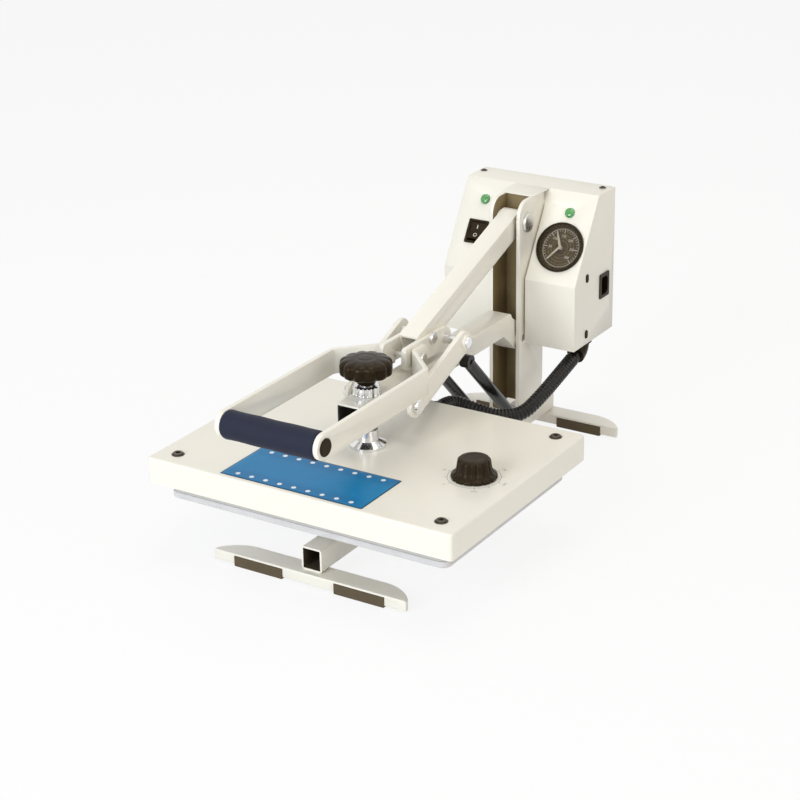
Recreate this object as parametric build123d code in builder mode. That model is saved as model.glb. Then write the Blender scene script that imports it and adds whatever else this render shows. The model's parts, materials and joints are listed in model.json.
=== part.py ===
from build123d import *
import math
import os

# Portable clamshell heat press, shown closed and locked.
# Millimetres. +X is the operator's right, +Y is the back, +Z is up.
# The origin is on the floor, under the middle of the whole machine.
# Front-to-back positions are measured from the spindle axis, heights from the floor.

os.makedirs("parts", exist_ok=True)

# Spindle axis and the drawing planes that start from it
SPINDLE_Y = -122.0
top = Plane(origin=(0, SPINDLE_Y, 0), x_dir=(1, 0, 0), z_dir=(0, 0, 1))
side = Plane(origin=(0, SPINDLE_Y, 0), x_dir=(0, 1, 0), z_dir=(1, 0, 0))
front = Plane(origin=(0, SPINDLE_Y, 0), x_dir=(1, 0, 0), z_dir=(0, -1, 0))
spindle_axis = Axis((0, SPINDLE_Y, 0), (0, 0, 1))

# Base
SPINE_WIDTH = 28.0
SPINE_HEIGHT = 30.0
SPINE_WALL = 2.5
SPINE_BOTTOM = 16.0
SPINE_TOP = SPINE_BOTTOM + SPINE_HEIGHT
SPINE_FRONT = -124.0
SPINE_REAR = 440.0
FOOT_DEPTH = 29.0
FOOT_BOTTOM = 3.0
FOOT_SHEET = 2.5
FRONT_FOOT_Y = -133.0
REAR_FOOT_Y = 420.0
PAD_TOP = SPINE_BOTTOM - FOOT_SHEET

# Platens
PLATEN_WIDTH = 381.0
PLATEN_DEPTH = 279.0
COVER_WIDTH = 415.0
COVER_DEPTH = 313.0
COVER_BOTTOM = 95.0
COVER_TOP = 127.0
COVER_SHEET = 2.0
TABLE_BOTTOM = 73.0
TABLE_TOP = 81.0
RUBBER_TOP = 89.0
HEAT_BOTTOM = 89.3
HEAT_TOP = 101.0

# Pivots in the side view, as (back from the spindle axis, height)
LEVER_PIVOT = (347.0, 309.0)
ARM_PIVOT = (341.0, 153.0)
LINK_FRONT = (36.0, 174.0)
LINK_REAR = (148.0, 217.0)
SPRING_TOP = (176.0, 180.0)
SPRING_FOOT = (302.0, 54.0)
PIN_RADIUS = 6.0
SHAFT_RADIUS = 6.0
RUNNING = 0.05

# Upright
UPRIGHT_INNER = 17.0
UPRIGHT_PLATE = 5.0
UPRIGHT_FRONT = 328.0
UPRIGHT_REAR = 392.0
UPRIGHT_TOP = 338.0
WEB_FRONT = 364.0

# Control box
BOX_HALF = 96.0
BOX_BOTTOM = 148.0
BOX_TOP = 340.0
BOX_REAR = 448.0
BOX_SHEET = 2.0
PANEL_FOOT = (338.6, 235.0)
PANEL_HEAD = (402.0, 340.0)
BOX_SLOT = 24.0

# Platen arm and lever
ARM_HALF = 15.0
ARM_BOTTOM = 167.0
ARM_TOP = 193.0
ARM_FRONT = -40.0
LEVER_SLOPE = 19.5
LEVER_WIDTH = 25.0
LEVER_HEIGHT = 28.0
LEVER_LENGTH = 265.0
CHEEK = 6.0
BAR = 6.0
BAR_BOTTOM = 197.0
BAR_TOP = 228.0
BAR_X = 65.5
GRIP_Y = -188.0
GRIP_Z = 212.0
LINK_INNER = 41.0
LINK_PLATE = 6.0

# Hose
HOSE_RADIUS = 9.5
HOSE_VALLEY = 8.3
HOSE_BORE = 7.0
RIB_PITCH = 5.0


# Base spine

with BuildPart() as spine:
    with BuildSketch(front.offset(-SPINE_FRONT)):
        with Locations((0, (SPINE_BOTTOM + SPINE_TOP) / 2)):
            RectangleRounded(SPINE_WIDTH, SPINE_HEIGHT, 4)
            RectangleRounded(
                SPINE_WIDTH - 2 * SPINE_WALL, SPINE_HEIGHT - 2 * SPINE_WALL, 1.8, mode=Mode.SUBTRACT
            )
    extrude(amount=SPINE_FRONT - SPINE_REAR)

spine.part.label = "base_spine"
export_step(spine.part, "parts/base_spine.step")


# Foot bars: pressed channels with a straight front and swept-back ends

def foot_bar(front_y, half_length, sweep_back, pad_from, pad_to):
    rear_y = front_y + FOOT_DEPTH
    shoulder = half_length - sweep_back
    with BuildSketch(top.offset(FOOT_BOTTOM)) as outline:
        with BuildLine():
            Line((-half_length, front_y), (half_length, front_y))
            Line((half_length, front_y), (half_length, front_y + 5))
            TangentArc((shoulder, rear_y), (half_length, front_y + 5), tangent=(1, 0))
            Line((shoulder, rear_y), (-shoulder, rear_y))
            TangentArc((-shoulder, rear_y), (-half_length, front_y + 5), tangent=(-1, 0))
            Line((-half_length, front_y + 5), (-half_length, front_y))
        make_face()
    with BuildPart() as bar:
        add(outline.sketch)
        extrude(amount=SPINE_BOTTOM - FOOT_BOTTOM)
        chamfer(bar.edges().group_by(Axis.Z)[-1], 0.8)
        with BuildSketch(top.offset(FOOT_BOTTOM)):
            add(outline.sketch_local)
            offset(amount=-FOOT_SHEET, kind=Kind.INTERSECTION, mode=Mode.REPLACE)
        extrude(amount=PAD_TOP - FOOT_BOTTOM, mode=Mode.SUBTRACT)
        with BuildSketch(front.offset(1 - front_y)):
            with Locations(
                ((pad_from + pad_to) / 2, (FOOT_BOTTOM + PAD_TOP) / 2),
                (-(pad_from + pad_to) / 2, (FOOT_BOTTOM + PAD_TOP) / 2),
            ):
                Rectangle(pad_to - pad_from, PAD_TOP - FOOT_BOTTOM)
        extrude(amount=-(2 + FOOT_SHEET), mode=Mode.SUBTRACT)
    return bar


def foot_pads(front_y, pad_from, pad_to):
    with BuildPart() as pads:
        with BuildSketch(top):
            with Locations(
                ((pad_from + pad_to) / 2, front_y + 9.5),
                (-(pad_from + pad_to) / 2, front_y + 9.5),
            ):
                Rectangle(pad_to - pad_from, 21)
        extrude(amount=PAD_TOP)
        chamfer(pads.edges().group_by(Axis.Z)[0], 1)
    return pads


front_foot = foot_bar(FRONT_FOOT_Y, 133.0, 45.0, 36.0, 104.0)
front_foot.part.label = "front_foot_bar"
export_step(front_foot.part, "parts/front_foot_bar.step")

front_pads = foot_pads(FRONT_FOOT_Y, 36.0, 104.0)
front_pads.part.label = "front_foot_pads"
export_step(front_pads.part, "parts/front_foot_pads.step")

rear_foot = foot_bar(REAR_FOOT_Y, 119.0, 45.0, 30.0, 95.0)
rear_foot.part.label = "rear_foot_bar"
export_step(rear_foot.part, "parts/rear_foot_bar.step")

rear_pads = foot_pads(REAR_FOOT_Y, 30.0, 95.0)
rear_pads.part.label = "rear_foot_pads"
export_step(rear_pads.part, "parts/rear_foot_pads.step")


# Lower platen: pedestal, table and silicone rubber

with BuildPart() as bracket:
    with BuildSketch(front.offset(60)):
        with BuildLine():
            Polyline(
                (-40, TABLE_BOTTOM), (40, TABLE_BOTTOM), (40, TABLE_BOTTOM - 4), (24, TABLE_BOTTOM - 4),
                (14, SPINE_TOP), (-14, SPINE_TOP), (-24, TABLE_BOTTOM - 4), (-40, TABLE_BOTTOM - 4),
                (-40, TABLE_BOTTOM),
            )
        make_face()
        with BuildLine():
            Polyline(
                (-19, TABLE_BOTTOM - 4), (19, TABLE_BOTTOM - 4), (11, SPINE_TOP + 4),
                (-11, SPINE_TOP + 4), (-19, TABLE_BOTTOM - 4),
            )
        make_face(mode=Mode.SUBTRACT)
    extrude(amount=-150)

bracket.part.label = "table_bracket"
export_step(bracket.part, "parts/table_bracket.step")

with BuildPart() as table:
    with BuildSketch(top.offset(TABLE_BOTTOM)):
        RectangleRounded(PLATEN_WIDTH, PLATEN_DEPTH, 12)
    extrude(amount=TABLE_TOP - TABLE_BOTTOM)
    chamfer(table.edges().group_by(Axis.Z)[0], 1)

table.part.label = "lower_table"
export_step(table.part, "parts/lower_table.step")

with BuildPart() as rubber:
    with BuildSketch(top.offset(TABLE_TOP)):
        RectangleRounded(PLATEN_WIDTH - 1, PLATEN_DEPTH - 1, 11.5)
    extrude(amount=RUBBER_TOP - TABLE_TOP)
    chamfer(rubber.edges().group_by(Axis.Z)[-1], 0.8)

rubber.part.label = "silicone_pad"
export_step(rubber.part, "parts/silicone_pad.step")


# Upright: two plates and a web

with BuildPart() as upright_right:
    with BuildSketch(side.offset(UPRIGHT_INNER)) as plate_outline:
        with BuildLine():
            Polyline(
                (UPRIGHT_FRONT, SPINE_TOP), (UPRIGHT_FRONT, UPRIGHT_TOP), (UPRIGHT_REAR, UPRIGHT_TOP),
                (UPRIGHT_REAR, 60), (350, SPINE_TOP), (UPRIGHT_FRONT, SPINE_TOP),
            )
        make_face()
        fillet(plate_outline.vertices().sort_by_distance((UPRIGHT_FRONT, UPRIGHT_TOP))[0], 20)
        fillet(plate_outline.vertices().sort_by_distance((UPRIGHT_REAR, 60))[0], 34)
        with Locations(LEVER_PIVOT, ARM_PIVOT):
            Circle(PIN_RADIUS, mode=Mode.SUBTRACT)
    extrude(amount=UPRIGHT_PLATE)

upright_right.part.label = "upright_plate_right"
export_step(upright_right.part, "parts/upright_plate_right.step")

with BuildPart() as upright_left:
    mirror(upright_right.part, about=Plane.YZ)

upright_left.part.label = "upright_plate_left"
export_step(upright_left.part, "parts/upright_plate_left.step")

with BuildPart() as web:
    with BuildSketch(side.offset(-UPRIGHT_INNER)):
        with BuildLine():
            Polyline(
                (WEB_FRONT, 54), (WEB_FRONT, UPRIGHT_TOP), (WEB_FRONT + 5, UPRIGHT_TOP),
                (WEB_FRONT + 5, 54), (WEB_FRONT, 54),
            )
        make_face()
    extrude(amount=2 * UPRIGHT_INNER)

web.part.label = "upright_web"
export_step(web.part, "parts/upright_web.step")


# Fixed pins of the upright

def cross_pin(centre, radius, reach, head_radius, head):
    with BuildPart() as pin:
        with BuildSketch(side.offset(-reach)):
            with Locations(centre):
                Circle(radius)
        extrude(amount=2 * reach)
        with BuildSketch(side.offset(reach)):
            with Locations(centre):
                Circle(head_radius)
        extrude(amount=head)
        with BuildSketch(side.offset(-reach)):
            with Locations(centre):
                Circle(head_radius)
        extrude(amount=-head)
        chamfer(pin.edges().filter_by(GeomType.CIRCLE).group_by(Axis.X)[0], min(1.4, head / 2))
        chamfer(pin.edges().filter_by(GeomType.CIRCLE).group_by(Axis.X)[-1], min(1.4, head / 2))
    return pin


lever_pin = cross_pin(LEVER_PIVOT, PIN_RADIUS, UPRIGHT_INNER + UPRIGHT_PLATE, 13.0, 4.0)
lever_pin.part.label = "lever_pivot_pin"
export_step(lever_pin.part, "parts/lever_pivot_pin.step")

with BuildPart() as arm_pin:
    with BuildSketch(side.offset(-UPRIGHT_INNER - UPRIGHT_PLATE)):
        with Locations(ARM_PIVOT):
            Circle(PIN_RADIUS)
    extrude(amount=2 * (UPRIGHT_INNER + UPRIGHT_PLATE))

arm_pin.part.label = "arm_pivot_pin"
export_step(arm_pin.part, "parts/arm_pivot_pin.step")


# Foot of the gas springs: a lug on the spine with a cross pin

with BuildPart() as anchor:
    with BuildSketch(side.offset(-11)) as lug:
        with BuildLine():
            Polyline(
                (SPRING_FOOT[0] - 16, SPINE_TOP), (SPRING_FOOT[0] - 9, SPRING_FOOT[1] + 8),
                (SPRING_FOOT[0] + 9, SPRING_FOOT[1] + 8), (SPRING_FOOT[0] + 16, SPINE_TOP),
                (SPRING_FOOT[0] - 16, SPINE_TOP),
            )
        make_face()
        fillet(lug.vertices().group_by(Axis.Y)[-1], 6)
    extrude(amount=22)
    with BuildSketch(side.offset(-38)):
        with Locations(SPRING_FOOT):
            Circle(4)
    extrude(amount=76)
    with BuildSketch(side.offset(38)):
        with Locations(SPRING_FOOT):
            Circle(6.5)
    extrude(amount=2)
    with BuildSketch(side.offset(-38)):
        with Locations(SPRING_FOOT):
            Circle(6.5)
    extrude(amount=-2)

anchor.part.label = "spring_anchor"
export_step(anchor.part, "parts/spring_anchor.step")


# Control box: folded shell around the upright, with a sloping panel

panel = Plane(
    origin=(0, SPINDLE_Y + PANEL_FOOT[0], PANEL_FOOT[1]),
    x_dir=(1, 0, 0),
    z_dir=(0, PANEL_FOOT[1] - PANEL_HEAD[1], PANEL_HEAD[0] - PANEL_FOOT[0]),
)
GAUGE = (61.0, 48.5)
LAMP_X = 62.0
LAMP_UP = 94.6
SWITCH = (-62.0, 50.2)
INLET = (420.0, 215.0)
ELBOW = (80.0, 387.0)

with BuildPart() as box:
    with BuildSketch(side.offset(-BOX_HALF)):
        with BuildLine():
            Polyline(
                (PANEL_FOOT[0], BOX_BOTTOM), PANEL_FOOT, PANEL_HEAD, (BOX_REAR - BOX_SHEET, BOX_TOP),
                (BOX_REAR - BOX_SHEET, BOX_BOTTOM), (PANEL_FOOT[0], BOX_BOTTOM),
            )
        make_face()
    extrude(amount=2 * BOX_HALF)
    with BuildSketch(top.offset(BOX_BOTTOM)):
        with Locations((0, UPRIGHT_REAR - 40)):
            Rectangle(2 * BOX_SLOT, 80)
    extrude(amount=BOX_TOP - BOX_BOTTOM, mode=Mode.SUBTRACT)
    offset(amount=-BOX_SHEET, openings=box.faces().sort_by(Axis.Y)[-1], kind=Kind.INTERSECTION)
    with BuildSketch(panel):
        with Locations(GAUGE):
            Circle(29)
        with Locations((LAMP_X, LAMP_UP), (-LAMP_X, LAMP_UP)):
            Circle(6.5)
        with Locations(SWITCH):
            Rectangle(25, 28)
    extrude(amount=-2 * BOX_SHEET, mode=Mode.SUBTRACT)
    with BuildSketch(side.offset(BOX_HALF)):
        with Locations(INLET):
            Rectangle(22, 28)
    extrude(amount=-2 * BOX_SHEET, mode=Mode.SUBTRACT)
    with BuildSketch(top.offset(BOX_BOTTOM)):
        with Locations(ELBOW):
            Circle(10)
    extrude(amount=BOX_SHEET, mode=Mode.SUBTRACT)

box.part.label = "control_box_shell"
export_step(box.part, "parts/control_box_shell.step")

with BuildPart() as box_hood:
    with BuildSketch(top.offset(BOX_TOP - BOX_SHEET)) as tongue:
        with Locations((0, (361 + PANEL_HEAD[0] - 1.2) / 2)):
            Rectangle(2 * BOX_SLOT, PANEL_HEAD[0] - 1.2 - 361)
        fillet(tongue.vertices().group_by(Axis.Y)[0], 8)
    extrude(amount=BOX_SHEET)

box_hood.part.label = "control_box_hood"
export_step(box_hood.part, "parts/control_box_hood.step")

with BuildPart() as box_back:
    with BuildSketch(front.offset(BOX_SHEET - BOX_REAR)):
        with Locations((0, (BOX_BOTTOM + BOX_TOP) / 2)):
            Rectangle(2 * BOX_HALF, BOX_TOP - BOX_BOTTOM)
    extrude(amount=-BOX_SHEET)

box_back.part.label = "control_box_back"
export_step(box_back.part, "parts/control_box_back.step")


# Temperature gauge on the right panel

with BuildPart() as gauge_case:
    with BuildSketch(panel):
        with Locations(GAUGE):
            Circle(32.5)
    extrude(amount=3.5)
    chamfer(gauge_case.edges().filter_by(GeomType.CIRCLE).sort_by(Axis.Z)[-1], 1)
    with BuildSketch(panel):
        with Locations(GAUGE):
            Circle(29)
    extrude(amount=-16)
    with BuildSketch(panel.offset(3.5)):
        with Locations(GAUGE):
            Circle(30)
    extrude(amount=-2.5, mode=Mode.SUBTRACT)
    with BuildSketch(panel.offset(3.5)):
        with Locations(GAUGE):
            Circle(27)
    extrude(amount=-7.5, mode=Mode.SUBTRACT)

gauge_case.part.label = "gauge_case"
export_step(gauge_case.part, "parts/gauge_case.step")

with BuildPart() as gauge_dial:
    with BuildSketch(panel.offset(-4)):
        with Locations(GAUGE):
            Circle(27)
            Circle(1 + RUNNING, mode=Mode.SUBTRACT)
    extrude(amount=1.2)

gauge_dial.part.label = "gauge_dial"
export_step(gauge_dial.part, "parts/gauge_dial.step")

with BuildPart() as gauge_hand:
    with BuildSketch(panel.offset(-2.2)):
        with Locations(GAUGE):
            Circle(2.6)
        with BuildLine():
            Polyline(
                (GAUGE[0] + 2.0, GAUGE[1] - 1.4), (GAUGE[0] - 9.5, GAUGE[1] + 21.0),
                (GAUGE[0] - 11.0, GAUGE[1] + 20.2), (GAUGE[0] - 2.4, GAUGE[1] - 1.0),
                (GAUGE[0] + 2.0, GAUGE[1] - 1.4),
            )
        make_face()
    extrude(amount=0.8)
    with BuildSketch(panel.offset(-3.9)):
        with Locations(GAUGE):
            Circle(1)
    extrude(amount=2)

gauge_hand.part.label = "gauge_hand"
export_step(gauge_hand.part, "parts/gauge_hand.step")

with BuildPart() as gauge_set_hand:
    with BuildSketch(panel.offset(0.2)):
        with Locations(GAUGE):
            Circle(2.2)
        with BuildLine():
            Polyline(
                (GAUGE[0] + 1.6, GAUGE[1] + 0.6), (GAUGE[0] - 13.0, GAUGE[1] - 17.5),
                (GAUGE[0] - 14.4, GAUGE[1] - 16.4), (GAUGE[0] - 1.6, GAUGE[1] + 1.4),
                (GAUGE[0] + 1.6, GAUGE[1] + 0.6),
            )
        make_face()
    extrude(amount=0.8)

gauge_set_hand.part.label = "gauge_set_hand"
export_step(gauge_set_hand.part, "parts/gauge_set_hand.step")

with BuildPart() as gauge_lens:
    with BuildSketch(panel.offset(1)):
        with Locations(GAUGE):
            Circle(30)
    extrude(amount=1.5)

gauge_lens.part.label = "gauge_lens"
export_step(gauge_lens.part, "parts/gauge_lens.step")


# Signal lamps

def lamp(x):
    with BuildPart() as lens:
        with BuildSketch(panel.offset(-6)):
            with Locations((x, LAMP_UP)):
                Circle(6.5)
        extrude(amount=9.5)
        chamfer(lens.edges().filter_by(GeomType.CIRCLE).sort_by(Axis.Z)[-1], 1.6, 2.4)
    return lens


lamp_right = lamp(LAMP_X)
lamp_right.part.label = "lamp_right"
export_step(lamp_right.part, "parts/lamp_right.step")

lamp_left = lamp(-LAMP_X)
lamp_left.part.label = "lamp_left"
export_step(lamp_left.part, "parts/lamp_left.step")


# Rocker switch on the left panel

switch_side = Plane(
    origin=panel.from_local_coords((SWITCH[0], SWITCH[1], 0)),
    x_dir=panel.y_dir,
    z_dir=(1, 0, 0),
)
ROCKER_PIVOT = (0.0, -4.0)

with BuildPart() as switch:
    with BuildSketch(panel):
        with Locations(SWITCH):
            RectangleRounded(29, 32, 1.5)
    extrude(amount=2)
    chamfer(switch.faces().sort_by(Axis((0, 0, 0), panel.z_dir))[-1].edges(), 0.6)
    with BuildSketch(panel):
        with Locations(SWITCH):
            Rectangle(25, 28)
    extrude(amount=-16)
    with BuildSketch(panel.offset(2)):
        with Locations(SWITCH):
            Rectangle(20.8, 26)
    extrude(amount=-16, mode=Mode.SUBTRACT)
    with BuildSketch(switch_side.offset(-12)):
        with Locations(ROCKER_PIVOT):
            Circle(1.5 + RUNNING)
    extrude(amount=24, mode=Mode.SUBTRACT)

switch.part.label = "switch_bezel"
export_step(switch.part, "parts/switch_bezel.step")

with BuildPart() as rocker:
    with BuildSketch(switch_side.offset(-10)):
        with Locations(Location((ROCKER_PIVOT[0], ROCKER_PIVOT[1], 0), (0, 0, -7))):
            Polygon(
                (-11.2, 6.8), (0, 4.6), (11.2, 6.8), (10.6, -1.5), (7, -5.5), (-7, -5.5), (-10.6, -1.5),
                align=None,
            )
    extrude(amount=20)
    with BuildSketch(switch_side.offset(-11.9)):
        with Locations(ROCKER_PIVOT):
            Circle(1.5)
    extrude(amount=23.8)

rocker.part.label = "switch_rocker"
export_step(rocker.part, "parts/switch_rocker.step")


# Power inlet on the right side

with BuildPart() as inlet:
    with BuildSketch(side.offset(BOX_HALF)):
        with Locations(INLET):
            RectangleRounded(26, 33, 2)
    extrude(amount=1.5)
    with BuildSketch(side.offset(BOX_HALF)):
        with Locations(INLET):
            Rectangle(22, 28)
    extrude(amount=-20)
    with BuildSketch(side.offset(BOX_HALF + 1.5)) as mouth:
        with Locations(INLET):
            Rectangle(17, 24)
        chamfer(mouth.vertices().group_by(Axis.X)[-1], 4)
    extrude(amount=-17.5, mode=Mode.SUBTRACT)
    with BuildSketch(side.offset(BOX_HALF - 16.5)):
        with Locations((INLET[0] - 3, INLET[1] + 7), (INLET[0] - 3, INLET[1] - 7), (INLET[0] + 3, INLET[1])):
            Rectangle(4, 2)
    extrude(amount=9)

inlet.part.label = "power_inlet"
export_step(inlet.part, "parts/power_inlet.step")


# Platen arm: box tube with a welded knee that drops to its pivot

with BuildPart() as arm:
    with BuildSketch(side.offset(-ARM_HALF)) as arm_outline:
        with BuildLine():
            Polyline(
                (ARM_FRONT, ARM_BOTTOM), (ARM_FRONT, ARM_TOP), (318, ARM_TOP), (322, ARM_TOP - 7),
                (352.5, 164.1), (330, 141.4), (300, ARM_BOTTOM), (ARM_FRONT, ARM_BOTTOM),
            )
        make_face()
        with Locations(ARM_PIVOT):
            Circle(16)
        fillet(arm_outline.vertices().sort_by_distance((318, ARM_TOP))[0], 4)
    extrude(amount=2 * ARM_HALF)
    with BuildSketch(side.offset(2.5 - ARM_HALF)):
        with BuildLine():
            Polyline(
                (ARM_FRONT, ARM_BOTTOM + 2.5), (ARM_FRONT, ARM_TOP - 2.5), (314, ARM_TOP - 2.5),
                (322, 182), (332, 168), (324, 152), (301, ARM_BOTTOM + 2.5), (ARM_FRONT, ARM_BOTTOM + 2.5),
            )
        make_face()
    extrude(amount=2 * ARM_HALF - 5, mode=Mode.SUBTRACT)
    with BuildSketch(side.offset(-UPRIGHT_INNER + 0.3)):
        with Locations(ARM_PIVOT):
            Circle(12)
    extrude(amount=2 * UPRIGHT_INNER - 0.6)
    with BuildSketch(side.offset(-UPRIGHT_INNER)):
        with Locations(ARM_PIVOT):
            Circle(PIN_RADIUS + RUNNING)
    extrude(amount=2 * UPRIGHT_INNER, mode=Mode.SUBTRACT)
    with BuildSketch(side.offset(-ARM_HALF)):
        with Locations(LINK_FRONT):
            Circle(SHAFT_RADIUS)
        with Locations(SPRING_TOP):
            Circle(5)
    extrude(amount=2 * ARM_HALF, mode=Mode.SUBTRACT)
    with BuildSketch(top.offset(ARM_BOTTOM)):
        Circle(12)
    extrude(amount=ARM_TOP - ARM_BOTTOM, mode=Mode.SUBTRACT)

arm.part.label = "platen_arm"
export_step(arm.part, "parts/platen_arm.step")


# Front toggle shaft through the arm, with its round heads outside the links

front_shaft = cross_pin(LINK_FRONT, SHAFT_RADIUS, LINK_INNER + LINK_PLATE + 0.3, 9.5, 4.5)
front_shaft.part.label = "toggle_shaft_front"
export_step(front_shaft.part, "parts/toggle_shaft_front.step")

with BuildPart() as spring_pin:
    with BuildSketch(side.offset(-24.5)):
        with Locations(SPRING_TOP):
            Circle(5)
    extrude(amount=49)

spring_pin.part.label = "spring_top_pin"
export_step(spring_pin.part, "parts/spring_top_pin.step")


# Threaded collar in the arm, knurled above the tube, with a clamping screw

with BuildPart() as collar:
    with BuildSketch(side):
        with BuildLine():
            Polyline(
                (8 + RUNNING, 161), (12, 161), (12, ARM_TOP), (16, ARM_TOP), (16, ARM_TOP + 11),
                (14.5, ARM_TOP + 12), (8 + RUNNING, ARM_TOP + 12), (8 + RUNNING, 161),
            )
        make_face()
    revolve(axis=spindle_axis)
    with BuildSketch(top.offset(ARM_TOP + 2)):
        with PolarLocations(16.4, 20):
            Circle(1.3)
    extrude(amount=10, mode=Mode.SUBTRACT)

collar.part.label = "adjuster_collar"
export_step(collar.part, "parts/adjuster_collar.step")


# Lever: square tube from the upper pivot down to the cheeks

lever_plane = Plane(
    origin=(0, SPINDLE_Y + LEVER_PIVOT[0], LEVER_PIVOT[1]),
    x_dir=(0, -math.cos(math.radians(LEVER_SLOPE)), -math.sin(math.radians(LEVER_SLOPE))),
    z_dir=(-1, 0, 0),
)

with BuildPart() as lever:
    with BuildSketch(lever_plane.offset(-LEVER_WIDTH / 2)):
        with Locations((LEVER_LENGTH / 2, 0)):
            Rectangle(LEVER_LENGTH, LEVER_HEIGHT)
        Circle(LEVER_HEIGHT / 2)
    extrude(amount=LEVER_WIDTH)
    with BuildSketch(lever_plane.offset(2.5 - LEVER_WIDTH / 2)):
        with Locations((LEVER_LENGTH / 2 + 12, 0)):
            Rectangle(LEVER_LENGTH, LEVER_HEIGHT - 5)
    extrude(amount=LEVER_WIDTH - 5, mode=Mode.SUBTRACT)
    with BuildSketch(lever_plane.offset(-UPRIGHT_INNER + 0.3)):
        Circle(11)
    extrude(amount=2 * UPRIGHT_INNER - 0.6)
    with BuildSketch(lever_plane.offset(-UPRIGHT_INNER)):
        Circle(PIN_RADIUS + RUNNING)
    extrude(amount=2 * UPRIGHT_INNER, mode=Mode.SUBTRACT)
    with BuildSketch(side.offset(-LEVER_WIDTH / 2)):
        with Locations((118, 227)):
            Circle(4)
    extrude(amount=LEVER_WIDTH, mode=Mode.SUBTRACT)

lever.part.label = "lever_tube"
export_step(lever.part, "parts/lever_tube.step")

with BuildPart() as cheek_right:
    with BuildSketch(side.offset(LEVER_WIDTH / 2)) as cheek_outline:
        with BuildLine():
            Polyline(
                (57, 205), (57, 231), LINK_REAR, (LINK_REAR[0], LINK_REAR[1] - 14.5), (120, 203.5), (57, 205)
            )
        make_face()
        with BuildLine():
            Polyline((57, 205), (57, 232), (LINK_REAR[0], 231.5), (LINK_REAR[0], 202.5), (57, 205))
        make_face()
        fillet(cheek_outline.vertices().group_by(Axis.X)[0], 6)
        with Locations(LINK_REAR):
            Circle(14.5)
            Circle(SHAFT_RADIUS, mode=Mode.SUBTRACT)
        with Locations((118, 227), (84, 213)):
            Circle(4, mode=Mode.SUBTRACT)
    extrude(amount=CHEEK)

cheek_right.part.label = "cheek_right"
export_step(cheek_right.part, "parts/cheek_right.step")

with BuildPart() as cheek_left:
    mirror(cheek_right.part, about=Plane.YZ)

cheek_left.part.label = "cheek_left"
export_step(cheek_left.part, "parts/cheek_left.step")

rear_bolt = cross_pin((118, 227), 4.0, LEVER_WIDTH / 2 + CHEEK, 7.5, 4.0)
rear_bolt.part.label = "cheek_bolt_rear"
export_step(rear_bolt.part, "parts/cheek_bolt_rear.step")

front_bolt = cross_pin((84, 213), 4.0, LEVER_WIDTH / 2 + CHEEK + BAR, 7.5, 4.0)
front_bolt.part.label = "cheek_bolt_front"
export_step(front_bolt.part, "parts/cheek_bolt_front.step")

with BuildPart() as rear_shaft:
    with BuildSketch(side.offset(0.3 - LINK_INNER)):
        with Locations(LINK_REAR):
            Circle(SHAFT_RADIUS)
    extrude(amount=2 * LINK_INNER - 0.6)

rear_shaft.part.label = "toggle_shaft_rear"
export_step(rear_shaft.part, "parts/toggle_shaft_rear.step")


# Handle bars: flat bar bent twice, bolted to the cheeks

TAB_X = LEVER_WIDTH / 2 + CHEEK + BAR / 2

with BuildPart() as bar_right:
    with BuildSketch(top.offset(BAR_BOTTOM)):
        with BuildLine():
            FilletPolyline(
                (BAR_X, GRIP_Y - 17), (BAR_X, 27), (TAB_X, 27 + BAR_X - TAB_X), (TAB_X, 93), radius=10
            )
        trace(line_width=BAR)
    extrude(amount=BAR_TOP - BAR_BOTTOM)
    with BuildSketch(side) as bar_side:
        with BuildLine():
            Line((GRIP_Y, BAR_TOP), (20, BAR_TOP))
            Line((20, BAR_TOP), (100, BAR_TOP))
            Line((100, BAR_TOP), (100, BAR_BOTTOM))
            Line((100, BAR_BOTTOM), (GRIP_Y, BAR_BOTTOM))
            ThreePointArc(
                (GRIP_Y, BAR_BOTTOM), (GRIP_Y - 15.5, (BAR_TOP + BAR_BOTTOM) / 2), (GRIP_Y, BAR_TOP)
            )
        make_face()
    extrude(amount=100, mode=Mode.INTERSECT)
    with BuildSketch(side.offset(BAR_X - BAR)):
        with Locations((GRIP_Y, GRIP_Z)):
            Circle(9)
    extrude(amount=2 * BAR, mode=Mode.SUBTRACT)
    with BuildSketch(side.offset(TAB_X - BAR)):
        with Locations((84, 213)):
            Circle(4)
    extrude(amount=2 * BAR, mode=Mode.SUBTRACT)

bar_right.part.label = "handle_bar_right"
export_step(bar_right.part, "parts/handle_bar_right.step")

with BuildPart() as bar_left:
    mirror(bar_right.part, about=Plane.YZ)

bar_left.part.label = "handle_bar_left"
export_step(bar_left.part, "parts/handle_bar_left.step")


# Grip: cross tube with end plugs, and its foam sleeve

grip_core = cross_pin((GRIP_Y, GRIP_Z), 9.0, BAR_X + BAR / 2, 10.5, 2.0)
grip_core.part.label = "grip_core"
export_step(grip_core.part, "parts/grip_core.step")

with BuildPart() as foam:
    with BuildSketch(side.offset(-(BAR_X - BAR / 2))):
        with Locations((GRIP_Y, GRIP_Z)):
            Circle(17)
            Circle(9, mode=Mode.SUBTRACT)
    extrude(amount=2 * BAR_X - BAR)
    chamfer(foam.edges().filter_by(GeomType.CIRCLE).group_by(Axis.X)[0].sort_by(SortBy.LENGTH)[-1], 2)
    chamfer(foam.edges().filter_by(GeomType.CIRCLE).group_by(Axis.X)[-1].sort_by(SortBy.LENGTH)[-1], 2)

foam.part.label = "foam_grip"
export_step(foam.part, "parts/foam_grip.step")


# Toggle links with the round caps of their rear pins

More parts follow.
